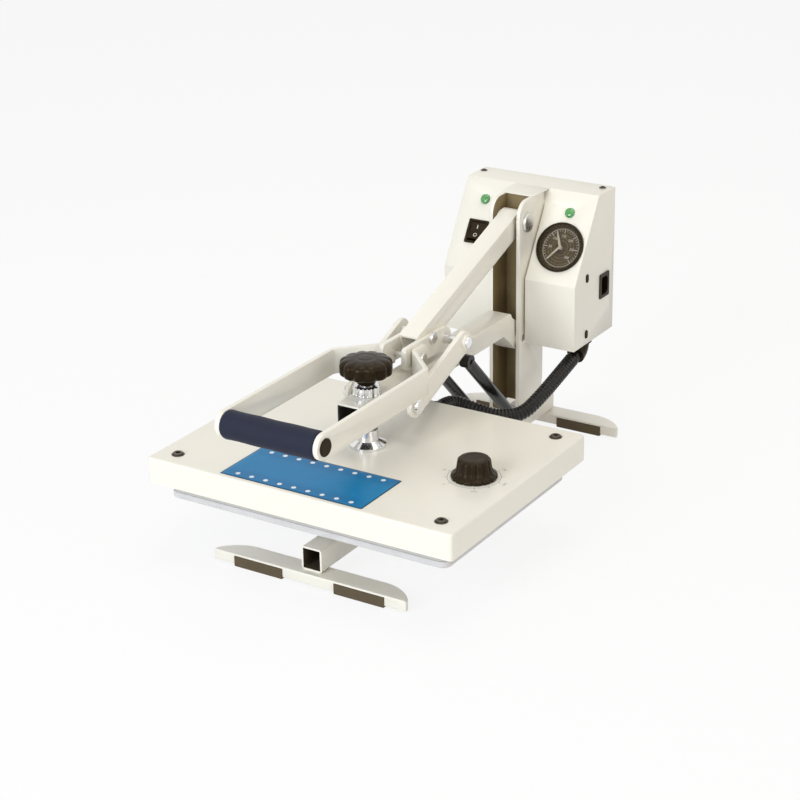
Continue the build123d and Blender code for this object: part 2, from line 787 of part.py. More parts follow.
with BuildPart() as link_right:
    with BuildSketch(side.offset(LINK_INNER)):
        with Locations(
            Location(
                ((LINK_FRONT[0] + LINK_REAR[0]) / 2, (LINK_FRONT[1] + LINK_REAR[1]) / 2, 0),
                (0, 0, math.degrees(math.atan2(LINK_REAR[1] - LINK_FRONT[1], LINK_REAR[0] - LINK_FRONT[0]))),
            )
        ):
            SlotCenterToCenter(math.dist(LINK_FRONT, LINK_REAR), 28)
        with Locations(LINK_FRONT):
            Circle(SHAFT_RADIUS + RUNNING, mode=Mode.SUBTRACT)
    extrude(amount=LINK_PLATE)
    with BuildSketch(side.offset(LINK_INNER + LINK_PLATE)):
        with Locations(LINK_REAR):
            Circle(9.5)
    extrude(amount=4.5)
    chamfer(link_right.edges().filter_by(GeomType.CIRCLE).sort_by(Axis.X)[-1], 1.4)

link_right.part.label = "link_right"
export_step(link_right.part, "parts/link_right.step")

with BuildPart() as link_left:
    mirror(link_right.part, about=Plane.YZ)

link_left.part.label = "link_left"
export_step(link_left.part, "parts/link_left.step")


# Gas springs: rod on the base, cylinder on the arm

SPRING_X = 33.0
SPRING_LENGTH = math.dist(SPRING_FOOT, SPRING_TOP)


def spring_plane(x):
    return Plane(
        origin=(x, SPINDLE_Y + SPRING_FOOT[0], SPRING_FOOT[1]),
        x_dir=(1, 0, 0),
        z_dir=(0, SPRING_TOP[0] - SPRING_FOOT[0], SPRING_TOP[1] - SPRING_FOOT[1]),
    )


def spring_rod(x):
    with BuildPart() as rod:
        with BuildSketch(side.offset(x - 4.4)):
            with Locations(SPRING_FOOT):
                Circle(7.5)
        extrude(amount=8.8)
        with BuildSketch(spring_plane(x)):
            Circle(4)
        extrude(amount=140)
        with BuildSketch(side.offset(x - 5)):
            with Locations(SPRING_FOOT):
                Circle(4 + RUNNING)
        extrude(amount=10, mode=Mode.SUBTRACT)
    return rod


def spring_cylinder(x):
    with BuildPart() as cylinder:
        with BuildSketch(spring_plane(x).offset(SPRING_LENGTH - 150)):
            Circle(7.5)
        extrude(amount=150)
        with BuildSketch(side.offset(x - 6)):
            with Locations(SPRING_TOP):
                Circle(8.5)
        extrude(amount=12)
        with BuildSketch(spring_plane(x).offset(SPRING_LENGTH - 151)):
            Circle(4 + RUNNING)
        extrude(amount=139, mode=Mode.SUBTRACT)
    return cylinder


rod_right = spring_rod(SPRING_X)
rod_right.part.label = "spring_rod_right"
export_step(rod_right.part, "parts/spring_rod_right.step")

rod_left = spring_rod(-SPRING_X)
rod_left.part.label = "spring_rod_left"
export_step(rod_left.part, "parts/spring_rod_left.step")

cylinder_right = spring_cylinder(SPRING_X)
cylinder_right.part.label = "spring_cylinder_right"
export_step(cylinder_right.part, "parts/spring_cylinder_right.step")

cylinder_left = spring_cylinder(-SPRING_X)
cylinder_left.part.label = "spring_cylinder_left"
export_step(cylinder_left.part, "parts/spring_cylinder_left.step")


# Heated upper platen under its pressed cover

with BuildPart() as cover:
    with BuildSketch(top.offset(COVER_BOTTOM)):
        RectangleRounded(COVER_WIDTH, COVER_DEPTH, 5)
    extrude(amount=COVER_TOP - COVER_BOTTOM)
    fillet(cover.edges().group_by(Axis.Z)[-1], 3)
    offset(amount=-COVER_SHEET, openings=cover.faces().sort_by(Axis.Z)[0])
    with BuildSketch(top.offset(COVER_TOP)):
        with Locations((153, -14)):
            Circle(3 + RUNNING)
    extrude(amount=-COVER_SHEET, mode=Mode.SUBTRACT)
    with BuildSketch(front.offset(-COVER_DEPTH / 2)):
        with Locations((-4, 112)):
            Circle(8)
    extrude(amount=COVER_SHEET, mode=Mode.SUBTRACT)

cover.part.label = "platen_cover"
export_step(cover.part, "parts/platen_cover.step")

with BuildPart() as heat_platen:
    with BuildSketch(top.offset(HEAT_BOTTOM)):
        RectangleRounded(PLATEN_WIDTH, PLATEN_DEPTH, 12)
    extrude(amount=HEAT_TOP - HEAT_BOTTOM)
    chamfer(heat_platen.edges().group_by(Axis.Z)[0], 1.2)

heat_platen.part.label = "heat_platen"
export_step(heat_platen.part, "parts/heat_platen.step")

with BuildPart() as insulation:
    with BuildSketch(top.offset(HEAT_TOP)):
        RectangleRounded(PLATEN_WIDTH - 20, PLATEN_DEPTH - 20, 10)
        with Locations((153, -14)):
            Circle(8, mode=Mode.SUBTRACT)
    extrude(amount=COVER_TOP - COVER_SHEET - HEAT_TOP)

insulation.part.label = "insulation_blanket"
export_step(insulation.part, "parts/insulation_blanket.step")

with BuildPart() as flange:
    with BuildSketch(side):
        with BuildLine():
            Polyline(
                (0, COVER_TOP), (22, COVER_TOP), (22, COVER_TOP + 4), (13, COVER_TOP + 9), (12, 149),
                (8 + RUNNING, 149), (8 + RUNNING, COVER_TOP + 3), (0, COVER_TOP + 3), (0, COVER_TOP),
            )
        make_face()
    revolve(axis=spindle_axis)

flange.part.label = "spindle_flange"
export_step(flange.part, "parts/spindle_flange.step")


# Spindle and pressure knob

with BuildPart() as spindle:
    with BuildSketch(top.offset(COVER_TOP + 3.3)):
        Circle(8)
    extrude(amount=230 - COVER_TOP - 3.3)
    chamfer(spindle.edges().group_by(Axis.Z)[0], 1)

spindle.part.label = "spindle_screw"
export_step(spindle.part, "parts/spindle_screw.step")

with BuildPart() as pressure_knob:
    with BuildSketch(side):
        with BuildLine():
            Polyline(
                (8, 207), (11, 207), (12, 216), (29, 219), (31.5, 222), (31.5, 233), (29, 237), (12, 238.5),
                (0, 239), (0, 230), (8, 230), (8, 207),
            )
        make_face()
    revolve(axis=spindle_axis)
    with BuildSketch(top.offset(210)):
        with PolarLocations(34.5, 12):
            Circle(6)
    extrude(amount=32, mode=Mode.SUBTRACT)

pressure_knob.part.label = "pressure_knob"
export_step(pressure_knob.part, "parts/pressure_knob.step")


# Thermostat knob: skirt and fluted grip

thermostat_axis = Axis((153, SPINDLE_Y - 14, 0), (0, 0, 1))

with BuildPart() as thermostat:
    with BuildSketch(side.offset(153)):
        with BuildLine():
            Polyline(
                (-14, COVER_TOP + 0.4), (-14 + 27, COVER_TOP + 0.4), (-14 + 27, COVER_TOP + 4),
                (-14 + 22, COVER_TOP + 8), (-14 + 20, COVER_TOP + 22), (-14 + 17.5, COVER_TOP + 24.4),
                (-14, COVER_TOP + 24.4), (-14, COVER_TOP + 0.4),
            )
        make_face()
    revolve(axis=thermostat_axis)
    with BuildSketch(top.offset(COVER_TOP + 7)):
        with Locations((153, -14)):
            with PolarLocations(22.5, 14):
                Circle(2.6)
    extrude(amount=20, mode=Mode.SUBTRACT)
    with BuildSketch(top.offset(COVER_TOP - 6)):
        with Locations((153, -14)):
            Circle(3)
    extrude(amount=7)

thermostat.part.label = "thermostat_knob"
export_step(thermostat.part, "parts/thermostat_knob.step")


# Hose fittings: an elbow under the control box and a gland on the cover

with BuildPart() as elbow:
    with BuildSketch(top.offset(BOX_BOTTOM)):
        with Locations(ELBOW):
            Circle(15)
    extrude(amount=-3)
    with BuildSketch(top.offset(146)):
        with Locations(ELBOW):
            Circle(12)
    revolve(axis=Axis((ELBOW[0], SPINDLE_Y + ELBOW[1] - 17, 146), (-1, 0, 0)), revolution_arc=75)

elbow.part.label = "hose_elbow"
export_step(elbow.part, "parts/hose_elbow.step")

with BuildPart() as gland:
    with BuildSketch(front.offset(-COVER_DEPTH / 2)):
        with Locations((-4, 112)):
            RegularPolygon(14, 6)
            Circle(HOSE_BORE, mode=Mode.SUBTRACT)
    extrude(amount=-5)
    with BuildSketch(front.offset(-COVER_DEPTH / 2 - 5)):
        with Locations((-4, 112)):
            Circle(11)
            Circle(HOSE_BORE, mode=Mode.SUBTRACT)
    extrude(amount=-4)

gland.part.label = "hose_gland"
export_step(gland.part, "parts/hose_gland.step")


# Ribbed hose on straight runs joined by tangent arcs

mouth_angle = math.radians(75)
hose_start = Vector(
    ELBOW[0],
    SPINDLE_Y + ELBOW[1] - 17 * (1 - math.cos(mouth_angle)),
    146 - 17 * math.sin(mouth_angle),
)
start_run = Vector(0, -math.sin(mouth_angle), -math.cos(mouth_angle))
hose_points = [
    hose_start,
    hose_start + start_run * 42,
    Vector(77, SPINDLE_Y + 288, 103),
    Vector(68, SPINDLE_Y + 254, 87),
    Vector(49, SPINDLE_Y + 230, 88),
    Vector(24, SPINDLE_Y + 217, 97),
    Vector(2, SPINDLE_Y + 205, 108),
    Vector(-4, SPINDLE_Y + 188, 112),
    Vector(-4, SPINDLE_Y + COVER_DEPTH / 2 + 9, 112),
]
hose_radii = []
for before, corner, after in zip(hose_points, hose_points[1:], hose_points[2:]):
    turn = math.radians((corner - before).get_angle(after - corner))
    run = min((corner - before).length, (after - corner).length)
    hose_radii.append(0.45 * run / math.tan(turn / 2))
print("hose radii", [round(radius, 1) for radius in hose_radii])

with BuildLine() as hose_path:
    FilletPolyline(*hose_points, radius=hose_radii)

hose_wire = hose_path.wires()[0]
rib_count = int((hose_wire.length - 2 * HOSE_RADIUS) / RIB_PITCH)
rib_start = (hose_wire.length - rib_count * RIB_PITCH) / 2
print("hose length", round(hose_wire.length, 1), "ribs", rib_count)


def hose_ring(distance, radius):
    tangent = hose_wire.tangent_at(distance, position_mode=PositionMode.LENGTH)
    across = Vector(1, 0, 0) - tangent * tangent.X
    ring_plane = Plane(
        origin=hose_wire.position_at(distance, position_mode=PositionMode.LENGTH),
        x_dir=across,
        z_dir=tangent,
    )
    with BuildSketch(ring_plane) as ring:
        Circle(radius)
    return ring.sketch


with BuildPart() as hose:
    hose_rings = [hose_ring(0, HOSE_VALLEY)]
    for index in range(rib_count):
        rib = rib_start + index * RIB_PITCH
        hose_rings.append(hose_ring(rib + 0.12 * RIB_PITCH, HOSE_VALLEY))
        hose_rings.append(hose_ring(rib + 0.32 * RIB_PITCH, HOSE_RADIUS))
        hose_rings.append(hose_ring(rib + 0.68 * RIB_PITCH, HOSE_RADIUS))
        hose_rings.append(hose_ring(rib + 0.88 * RIB_PITCH, HOSE_VALLEY))
    hose_rings.append(hose_ring(hose_wire.length, HOSE_VALLEY))
    loft(hose_rings, ruled=True)
    with BuildSketch(Plane(origin=hose_start, x_dir=(1, 0, 0), z_dir=start_run)):
        Circle(HOSE_BORE)
    sweep(path=hose_wire, mode=Mode.SUBTRACT)

print("hose volume", round(hose.part.volume))
hose.part.label = "heater_hose"
export_step(hose.part, "parts/heater_hose.step")
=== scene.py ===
"""Finishes, small fittings, hose and studio for a portable clamshell heat press.

Lengths are metres in the row frame: +X to the operator's right, +Y to the back, +Z up,
with the origin on the floor under the middle of the machine. Front-to-back places are
written in millimetres from the spindle axis, which stands at SPINDLE_Y.
"""

import json
import math

import bpy
import bmesh
import numpy as np
from bpy.props import FloatProperty, FloatVectorProperty, IntProperty, PointerProperty
from mathutils import Matrix, Vector


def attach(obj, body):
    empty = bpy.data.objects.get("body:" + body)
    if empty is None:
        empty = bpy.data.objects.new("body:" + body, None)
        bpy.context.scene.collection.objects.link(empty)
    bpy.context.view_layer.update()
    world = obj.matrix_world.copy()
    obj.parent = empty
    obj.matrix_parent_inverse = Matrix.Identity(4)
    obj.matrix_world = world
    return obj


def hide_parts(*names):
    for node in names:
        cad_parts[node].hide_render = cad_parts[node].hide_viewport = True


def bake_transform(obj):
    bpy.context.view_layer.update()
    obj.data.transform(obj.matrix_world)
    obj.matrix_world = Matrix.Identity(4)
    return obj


bl_info = {
    "name": "Clamshell Heat Press",
    "version": (1, 0, 0),
    "blender": (4, 5, 0),
    "location": "View3D > Sidebar > Heat Press",
    "description": "Finishes, fittings, hose and studio for a portable clamshell heat press",
    "category": "Object",
}

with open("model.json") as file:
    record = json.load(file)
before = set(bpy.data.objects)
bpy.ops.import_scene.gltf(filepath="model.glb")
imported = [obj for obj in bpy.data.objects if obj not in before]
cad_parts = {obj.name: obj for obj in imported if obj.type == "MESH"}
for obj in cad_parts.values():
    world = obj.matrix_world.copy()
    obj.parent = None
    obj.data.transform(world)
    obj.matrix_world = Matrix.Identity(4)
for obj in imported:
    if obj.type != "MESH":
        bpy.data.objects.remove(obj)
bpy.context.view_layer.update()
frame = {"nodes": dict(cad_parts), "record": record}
MM = 0.001
WELD = 1e-7
CAD_WELD = 2e-6
SPINDLE_Y = -0.122

# Places in millimetres: across, then front to back from the spindle, then height.
COVER_TOP = 127.0
BOX_TOP = 340.0
BOX_SIDE = 96.0
THERMOSTAT = (153.0, -14.0)
GRIP = (-188.0, 212.0)
LABEL_CENTRE = (-9.0, -107.5)
COVER_SCREW = (180.0, 132.0)
BOX_SCREWS = ((-89.0, 431.0), (84.0, 435.0))
SIDE_PLUGS = ((372.0, 238.0), (372.0, 162.0))
LINK_REAR = (148.0, 217.0)
LINK_OUTER = 51.5

# The box's sloping panel, and what is on it: across, then up the slope.
PANEL_FOOT = np.array([338.6, 235.0])
PANEL_HEAD = np.array([402.0, 340.0])
PANEL_UP = (PANEL_HEAD - PANEL_FOOT) / np.hypot(*(PANEL_HEAD - PANEL_FOOT))
GAUGE = (61.0, 48.5)
LAMP = (62.0, 94.6)
SWITCH = (-62.0, 50.2)

# Width of each painted node's rounded edges, in millimetres.
EDGE_WIDTHS = {
    "control_box_shell": 1.2, "control_box_back": 0.6, "control_box_hood": 0.6,
    "lever_tube": 1.6, "platen_arm": 1.6, "upright_plate_left": 0.9, "upright_plate_right": 0.9,
    "handle_bar_left": 1.0, "handle_bar_right": 1.0, "link_left": 1.0, "link_right": 1.0,
    "cheek_left": 0.9, "cheek_right": 0.9, "front_foot_bar": 0.8, "rear_foot_bar": 0.8,
    "table_bracket": 0.8, "spring_anchor": 0.6, "lower_table": 1.5,
}


def placed(points):
    """Points in millimetres from the spindle axis, as metres in the row frame."""
    return np.asarray(points, float) * MM + np.array([0.0, SPINDLE_Y, 0.0])


def on_panel(x, up, out):
    """Places on the sloping panel: x across it, up its slope, and out along its normal.

    Each point is the panel's foot plus up times the slope's direction plus out times the
    normal, which is the slope's direction turned a quarter towards the operator.
    """
    x, up, out = np.broadcast_arrays(x, up, out)
    back = PANEL_FOOT[0] + PANEL_UP[0] * up - PANEL_UP[1] * out
    height = PANEL_FOOT[1] + PANEL_UP[1] * up + PANEL_UP[0] * out
    return np.stack([x, back, height], axis=-1)


# Shader maths


def arithmetic(operation, swapped=False):
    """A method that adds one Math node; swapped puts the other number first in it."""

    def method(self, other=0.0):
        first, second = (other, self) if swapped else (self, other)
        return self.maths(operation, first, second)

    return method


class Field:
    """One output of a shader node. Arithmetic on it adds the Math nodes that do the sum."""

    __add__ = arithmetic("ADD")
    __radd__ = arithmetic("ADD", swapped=True)
    __sub__ = arithmetic("SUBTRACT")
    __rsub__ = arithmetic("SUBTRACT", swapped=True)
    __mul__ = arithmetic("MULTIPLY")
    __rmul__ = arithmetic("MULTIPLY", swapped=True)
    __truediv__ = arithmetic("DIVIDE")
    __pow__ = arithmetic("POWER")
    __lt__ = arithmetic("LESS_THAN")
    __gt__ = arithmetic("GREATER_THAN")
    __abs__ = arithmetic("ABSOLUTE")
    fraction = arithmetic("FRACT")
    sine = arithmetic("SINE")
    root = arithmetic("SQRT")

    def __init__(self, finish, socket):
        self.finish, self.socket = finish, socket

    def maths(self, operation, first, second, clamp=False):
        return self.finish.node(
            "ShaderNodeMath",
            {"operation": operation, "use_clamp": clamp},
            {"Value": first, "Value_001": second},
        )

    def clamped(self):
        return self.maths("ADD", self, 0.0, clamp=True)


class Finish:
    """A material being mixed: its node tree and the Principled shader at the end of it."""

    def __init__(self, name, **uniform):
        self.material = bpy.data.materials.new(name)
        self.material.use_nodes = True
        self.tree = self.material.node_tree
        self.tree.nodes.clear()
        self.shader = self.tree.nodes.new("ShaderNodeBsdfPrincipled")
        output = self.tree.nodes.new("ShaderNodeOutputMaterial")
        self.tree.links.new(self.shader.outputs[0], output.inputs[0])
        for socket, value in uniform.items():
            self.shader.inputs[socket.replace("_", " ")].default_value = value

    def node(self, kind, settings=None, sockets=None, output=None):
        """Adds a node, makes its settings, then fills its sockets with values or links."""
        made = self.tree.nodes.new(kind)
        for key, value in (settings or {}).items():
            setattr(made, key, value)
        for key, value in (sockets or {}).items():
            socket = next(s for s in made.inputs if s.identifier == key)
            if isinstance(value, Field):
                self.tree.links.new(value.socket, socket)
            else:
                socket.default_value = value
        return Field(
            self, next(s for s in made.outputs if s.enabled and output in (None, s.identifier))
        )

    def place(self):
        return self.node("ShaderNodeTexCoord", output="Object")

    def along(self, axis):
        return self.node("ShaderNodeSeparateXYZ", None, {"Vector": self.place()}, axis)

    def noise(self, scale, detail=2.0, stretch=None):
        where = self.place()
        if stretch:
            where = self.node(
                "ShaderNodeVectorMath",
                {"operation": "MULTIPLY"},
                {"Vector": where, "Vector_001": stretch},
            )
        sockets = {"Vector": where, "Scale": scale, "Detail": detail, "Roughness": 0.5}
        return self.node("ShaderNodeTexNoise", None, sockets, "Fac")

    def cells(self, scale):
        """Distance from the nearest of many scattered points, scale of them to a metre."""
        sockets = {"Vector": self.place(), "Scale": scale}
        return self.node("ShaderNodeTexVoronoi", {"feature": "F1"}, sockets, "Distance")

    def mix(self, share, low, high):
        """A colour between two others: low where share is 0 and high where it is 1."""
        return self.node(
            "ShaderNodeMix",
            {"data_type": "RGBA"},
            {"Factor_Float": share, "A_Color": low, "B_Color": high},
            "Result_Color",
        )

    def feed(self, socket, field):
        self.tree.links.new(field.socket, self.shader.inputs[socket])

    def tint(self, share, colour, low, high):
        """Base colour: the colour times low where share is 0, and times high where it is 1."""
        self.feed("Base Color", self.mix(share, shade(colour, low), shade(colour, high)))

    def bump(self, height, distance, strength):
        """Feeds the normal from a height field, and gives the material that is now ready."""
        sockets = {"Height": height, "Distance": distance, "Strength": strength}
        self.feed("Normal", self.node("ShaderNodeBump", None, sockets))
        return self.material


def shade(colour, factor):
    """A colour made lighter or darker, with its fourth number."""
    return tuple(min(1.0, c * factor) for c in tuple(colour)[:3]) + (1.0,)


# Surfaces


def grid_faces(rows, columns, start, loop):
    """Quads between neighbours of a grid of rings, numbered row by row from start."""
    row = np.arange(rows if loop else rows - 1)
    row, column = np.meshgrid(row, np.arange(columns), indexing="ij")
    below, right = (row + 1) % rows, (column + 1) % columns
    corners = [(row, column), (row, right), (below, right), (below, column)]
    return start + np.stack([r * columns + c for r, c in corners], axis=-1).reshape(-1, 4)


def capped(points):
    """A patch of rings whose first and last are closed by a point at their middle."""
    ends = points[[0, -1]].mean(axis=1, keepdims=True)
    ends = np.broadcast_to(ends, (2,) + points.shape[1:])
    return np.concatenate([ends[:1], points, ends[1:]]), False


def show(name, mesh, finish, body=None, replaces=()):
    """An object of the mesh with one finish, on its body, for its nodes."""
    mesh.materials.append(finish)
    made = bpy.data.objects.new(name, mesh)
    bpy.context.scene.collection.objects.link(made)
    if body:
        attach(made, body)
    if replaces:
        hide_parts(*replaces)
    return made


def make_piece(name, patches, finish, body=None, replaces=(), sharp=32.0):
    """One object from patches of rings in millimetres.

    Each patch is (points, loop): loop joins its last ring to its first.
    """
    vertices, faces, start = [], [], 0
    for points, loop in patches:
        rows, columns = points.shape[:2]
        vertices.append(points.reshape(-1, 3))
        faces.append(grid_faces(rows, columns, start, loop))
        start += rows * columns
    mesh = bpy.data.meshes.new(name)
    mesh.from_pydata(placed(np.concatenate(vertices)), [], np.concatenate(faces).tolist())
    tidy = bmesh.new()
    tidy.from_mesh(mesh)
    bmesh.ops.remove_doubles(tidy, verts=tidy.verts, dist=WELD)
    bmesh.ops.recalc_face_normals(tidy, faces=tidy.faces)
    tidy.to_mesh(mesh)
    tidy.free()
    mesh.shade_smooth()
    mesh.set_sharp_from_angle(angle=math.radians(sharp))
    return show(name, mesh, finish, body, replaces)


def turned(profile, centre=(0.0, 0.0), steps=64, swell=None):
    """A profile of (radius, height) turned about an upright axis.

    x is the radius times cos a, y the radius times sin a and z the height. swell is a
    function of the angle and the row that multiplies the radius.
    """
    radius, height = np.asarray(profile, float).T[:, :, None]
    angle = np.linspace(0, 2 * np.pi, steps, endpoint=False)[None, :]
    radius = radius * (swell(angle, height) if swell else np.ones_like(angle))
    x, y = radius * np.cos(angle), radius * np.sin(angle)
    return np.stack([x + centre[0], y + centre[1], height + 0 * angle], axis=-1)


def rounded_outline(half_x, half_y, radius, per_corner=8):
    """A rectangle with round corners: a quarter circle about each corner's centre."""
    turn = np.linspace(0, np.pi / 2, per_corner)[None, :]
    quarter = np.arange(4)[:, None] * np.pi / 2
    side_x, side_y = np.array([1, -1, -1, 1]), np.array([1, 1, -1, -1])
    x = side_x[:, None] * (half_x - radius) + radius * np.cos(turn + quarter)
    y = side_y[:, None] * (half_y - radius) + radius * np.sin(turn + quarter)
    return np.stack([x, y], axis=-1).reshape(-1, 2)


def slab(half_x, half_y, radius, rows, centre=(0.0, 0.0), per_corner=8):
    """Stacked round-cornered outlines: each row is (inset from the outline, height)."""
    loops = []
    for inset, height in rows:
        corner = max(radius - inset, 0.05)
        outline = rounded_outline(half_x - inset, half_y - inset, corner, per_corner)
        loops.append(np.column_stack([outline, np.full(4 * per_corner, height)]))
    return capped(np.array(loops) + np.array([centre[0], centre[1], 0.0]))


def tube(path, radius, columns=28):
    """A round tube about a path: each ring stands square to the path's direction there."""
    path = np.asarray(path, float)
    along = np.gradient(path, axis=0)
    along /= np.linalg.norm(along, axis=1, keepdims=True)
    across = np.array([1.0, 0, 0]) - along * along[:, :1]
    across /= np.linalg.norm(across, axis=1, keepdims=True)
    other = np.cross(along, across)
    angle = np.linspace(0, 2 * np.pi, columns, endpoint=False)
    circle = (
        np.cos(angle)[None, :, None] * across[:, None, :]
        + np.sin(angle)[None, :, None] * other[:, None, :]
    )
    return path[:, None, :] + np.asarray(radius, float)[:, None, None] * circle


def steps_between(*stops, count=6):
    """Evenly spaced values through several stops, each stop once."""
    parts = [np.linspace(a, b, count, endpoint=False) for a, b in zip(stops, stops[1:])]
    return np.concatenate(parts + [[stops[-1]]])


# Settings that a user would change


def size_setting(label, description, default, low, high, precision=4):
    return FloatProperty(
        name=label, description=description, default=default, min=low, max=high,
        unit="LENGTH", precision=precision,
    )


def colour_setting(label, description, default):
    return FloatVectorProperty(
        name=label, description=description, default=default, min=0, max=1, subtype="COLOR"
    )


def count_setting(label, description, default, low, high):
    return IntProperty(name=label, description=description, default=default, min=low, max=high)


def power_setting(label, description, default):
    return FloatProperty(
        name=label, description=description, default=default, min=0, unit="POWER"
    )


class FinishSettings(bpy.types.PropertyGroup):
    ivory: colour_setting("Ivory", "Powder coat colour", (0.84, 0.805, 0.715))
    peel: size_setting("Orange Peel", "Height of the powder coat's ripple", 0.00004, 0, 0.0005, 6)
    black: colour_setting("Black", "Knob and fitting plastic", (0.014, 0.0085, 0.0035))
    navy: colour_setting("Navy", "Foam grip colour", (0.008, 0.010, 0.024))
    lamp_green: colour_setting("Lamp Green", "Signal lamp lens colour", (0.045, 0.22, 0.05))
    aluminium: colour_setting("Aluminium", "Heated platen colour", (0.62, 0.62, 0.64))
    label_blue: colour_setting("Label Blue", "Plate on the cover", (0.002, 0.165, 0.42))


class HoseSettings(bpy.types.PropertyGroup):
    crest: size_setting("Crest Radius", "Radius over the hose's ribs", 0.0095, 0.004, 0.02)
    valley: size_setting("Valley Radius", "Radius between the ribs", 0.0083, 0.003, 0.02)
    pitch: size_setting("Rib Pitch", "Distance from rib to rib", 0.005, 0.002, 0.02)
    length: size_setting("Length", "Real length of the hose, end to end", 0.2552, 0.1, 1.0)


class KnobSettings(bpy.types.PropertyGroup):
    scallops: count_setting("Scallops", "Finger scallops round the pressure knob", 12, 5, 24)
    flutes: count_setting("Flutes", "Flutes round the thermostat knob", 14, 6, 30)
    thread_pitch: size_setting(
        "Thread Pitch", "Rise of the spindle's thread in one turn", 0.0025, 0.001, 0.006
    )


class LabelSettings(bpy.types.PropertyGroup):
    width: size_setting("Width", "Length of the plate across the cover", 0.194, 0.05, 0.3, 3)
    depth: size_setting("Depth", "Size of the plate from front to back", 0.085, 0.02, 0.15, 3)
    dots: count_setting("Dots", "White dots along each long edge", 10, 2, 30)


class StudioSettings(bpy.types.PropertyGroup):
    key: power_setting("Key Light", "Power of the large lamp in front", 58.0)
    overhead: power_setting("Overhead Light", "Power of the lamp above", 17.0)
    fill: power_setting("Fill Light", "Power of the lamp on the right", 12.0)
    ambient: FloatProperty(
        name="Ambient", description="Strength of the even light from all round",
        default=0.5, min=0, max=2,
    )
    lens: FloatProperty(
        name="Lens", description="Focal length on a 36 mm sensor",
        default=94.12, min=20, max=300,
    )


def settings(name):
    return getattr(bpy.context.scene, name)


# Finishes


def ivory_powder_coat(name="ivory_powder_coat", shaded_hollow=None, hollow_shade_colour=(0.055, 0.040, 0.022)):
    """Semi-gloss powder coat: a fine ripple, and a tone that drifts very slightly.

    The second argument is the lowest and the highest corner, in metres, of a hollow inside a tube or
    channel whose walls get painted shade: there the colour is made dark, for the shadow inside, and
    the surface dull.
    """
    chosen = settings("press_finishes")
    paint = Finish(name, Coat_Weight=0.2, Coat_Roughness=0.12)
    drift = paint.noise(7.0, 3.0)
    colour = paint.mix(drift, shade(chosen.ivory, 0.965), shade(chosen.ivory, 1.03))
    roughness = 0.26 + 0.12 * paint.noise(55.0, 3.0)
    if shaded_hollow:
        inside = 1.0
        for axis, low, high in zip("XYZ", *shaded_hollow):
            place = paint.along(axis)
            inside = (place > low) * (place < high) * inside
        # Painted shade: a dark, mottled colour on the hollow's walls stands in for the shadow inside
        # it.
        steel = paint.mix(paint.noise(40.0, 3.0), shade(hollow_shade_colour, 0.7), shade(hollow_shade_colour, 1.4))
        colour = paint.mix(inside, colour, steel)
        roughness = roughness + 0.35 * inside
    paint.feed("Base Color", colour)
    paint.feed("Roughness", roughness)
    ripple = paint.noise(620.0, 2.0)
    return paint.bump(ripple, chosen.peel * 10, 0.35)


def moulded_black(name, gloss=0.32, grain=0.45, glint_dust=0.5):
    """Moulded plastic: a fine grain, softer gloss in places, and scattered pale specks that are partly
    painted glints and partly a little dust.
    """
    chosen = settings("press_finishes")
    plastic = Finish(name, Specular_IOR_Level=0.2, Specular_Tint=(1.0, 0.8, 0.55, 1))
    # Pale specks at random: painted glints, together with a little dust.
    glint_specks = (plastic.noise(900.0, 1.0) > 0.74) * (plastic.noise(60.0, 2.0) > 0.5) * glint_dust
    pale = (0.10, 0.07, 0.04, 1.0)
    plastic.feed("Base Color", plastic.mix(glint_specks, shade(chosen.black, 1.0), pale))
    plastic.feed("Roughness", gloss + 0.16 * plastic.noise(140.0, 3.0))
    return plastic.bump(plastic.noise(1500.0, 2.0), 0.0002, grain * 0.4)


def polished_steel(name, colour, low):
    """Plated steel: almost a mirror, with fine turning marks along its height."""
    steel = Finish(name, Metallic=1.0)
    haze = steel.noise(90.0, 4.0)
    steel.tint(haze, colour, 0.93, 1.04)
    steel.feed("Roughness", low + 0.14 * haze)
    marks = steel.noise(400.0, 2.0, stretch=(0.15, 0.15, 6.0))
    return steel.bump(marks, 0.0001, 0.10)


def brushed_aluminium():
    """Cast and machined aluminium: a grey drift, faint pits and straight tool marks."""
    chosen = settings("press_finishes")
    metal = Finish("machined_aluminium", Metallic=0.85)
    metal.tint(metal.noise(24.0, 4.0), chosen.aluminium, 0.9, 1.12)
    metal.feed("Roughness", 0.38 + 0.14 * metal.noise(160.0, 3.0))
    marks = metal.noise(260.0, 3.0, stretch=(0.25, 0.25, 5.0))
    return metal.bump(marks, 0.0002, 0.25)


def dark_rubber(name, colour, rough=0.72, grain=1100.0, height=0.0003, bloom_range=(0.8, 1.35)):
    """Rubber: matt, slightly chalky in patches, with a fine grain."""
    rubber = Finish(name, Specular_IOR_Level=0.35)
    bloom = rubber.noise(45.0, 4.0)
    rubber.tint(bloom, colour, *bloom_range)
    rubber.feed("Roughness", rough + 0.14 * bloom)
    return rubber.bump(rubber.noise(grain, 3.0), height, 0.5)


def navy_foam():
    """Closed-cell foam: tiny open pores on a skin that is worn lighter in patches."""
    chosen = settings("press_finishes")
    foam = Finish("navy_foam", Sheen_Weight=0.04, Sheen_Roughness=0.4, Specular_IOR_Level=0.3)
    wear = foam.noise(28.0, 4.0)
    pores = foam.cells(850.0)
    tone = (0.75 * wear + 0.5 * pores).clamped()
    foam.tint(tone, chosen.navy, 0.7, 1.6)
    foam.feed("Roughness", 0.62 + 0.2 * wear)
    skin = pores * 0.8 + foam.noise(160.0, 3.0) * 0.9
    return foam.bump(skin, 0.0005, 0.55)


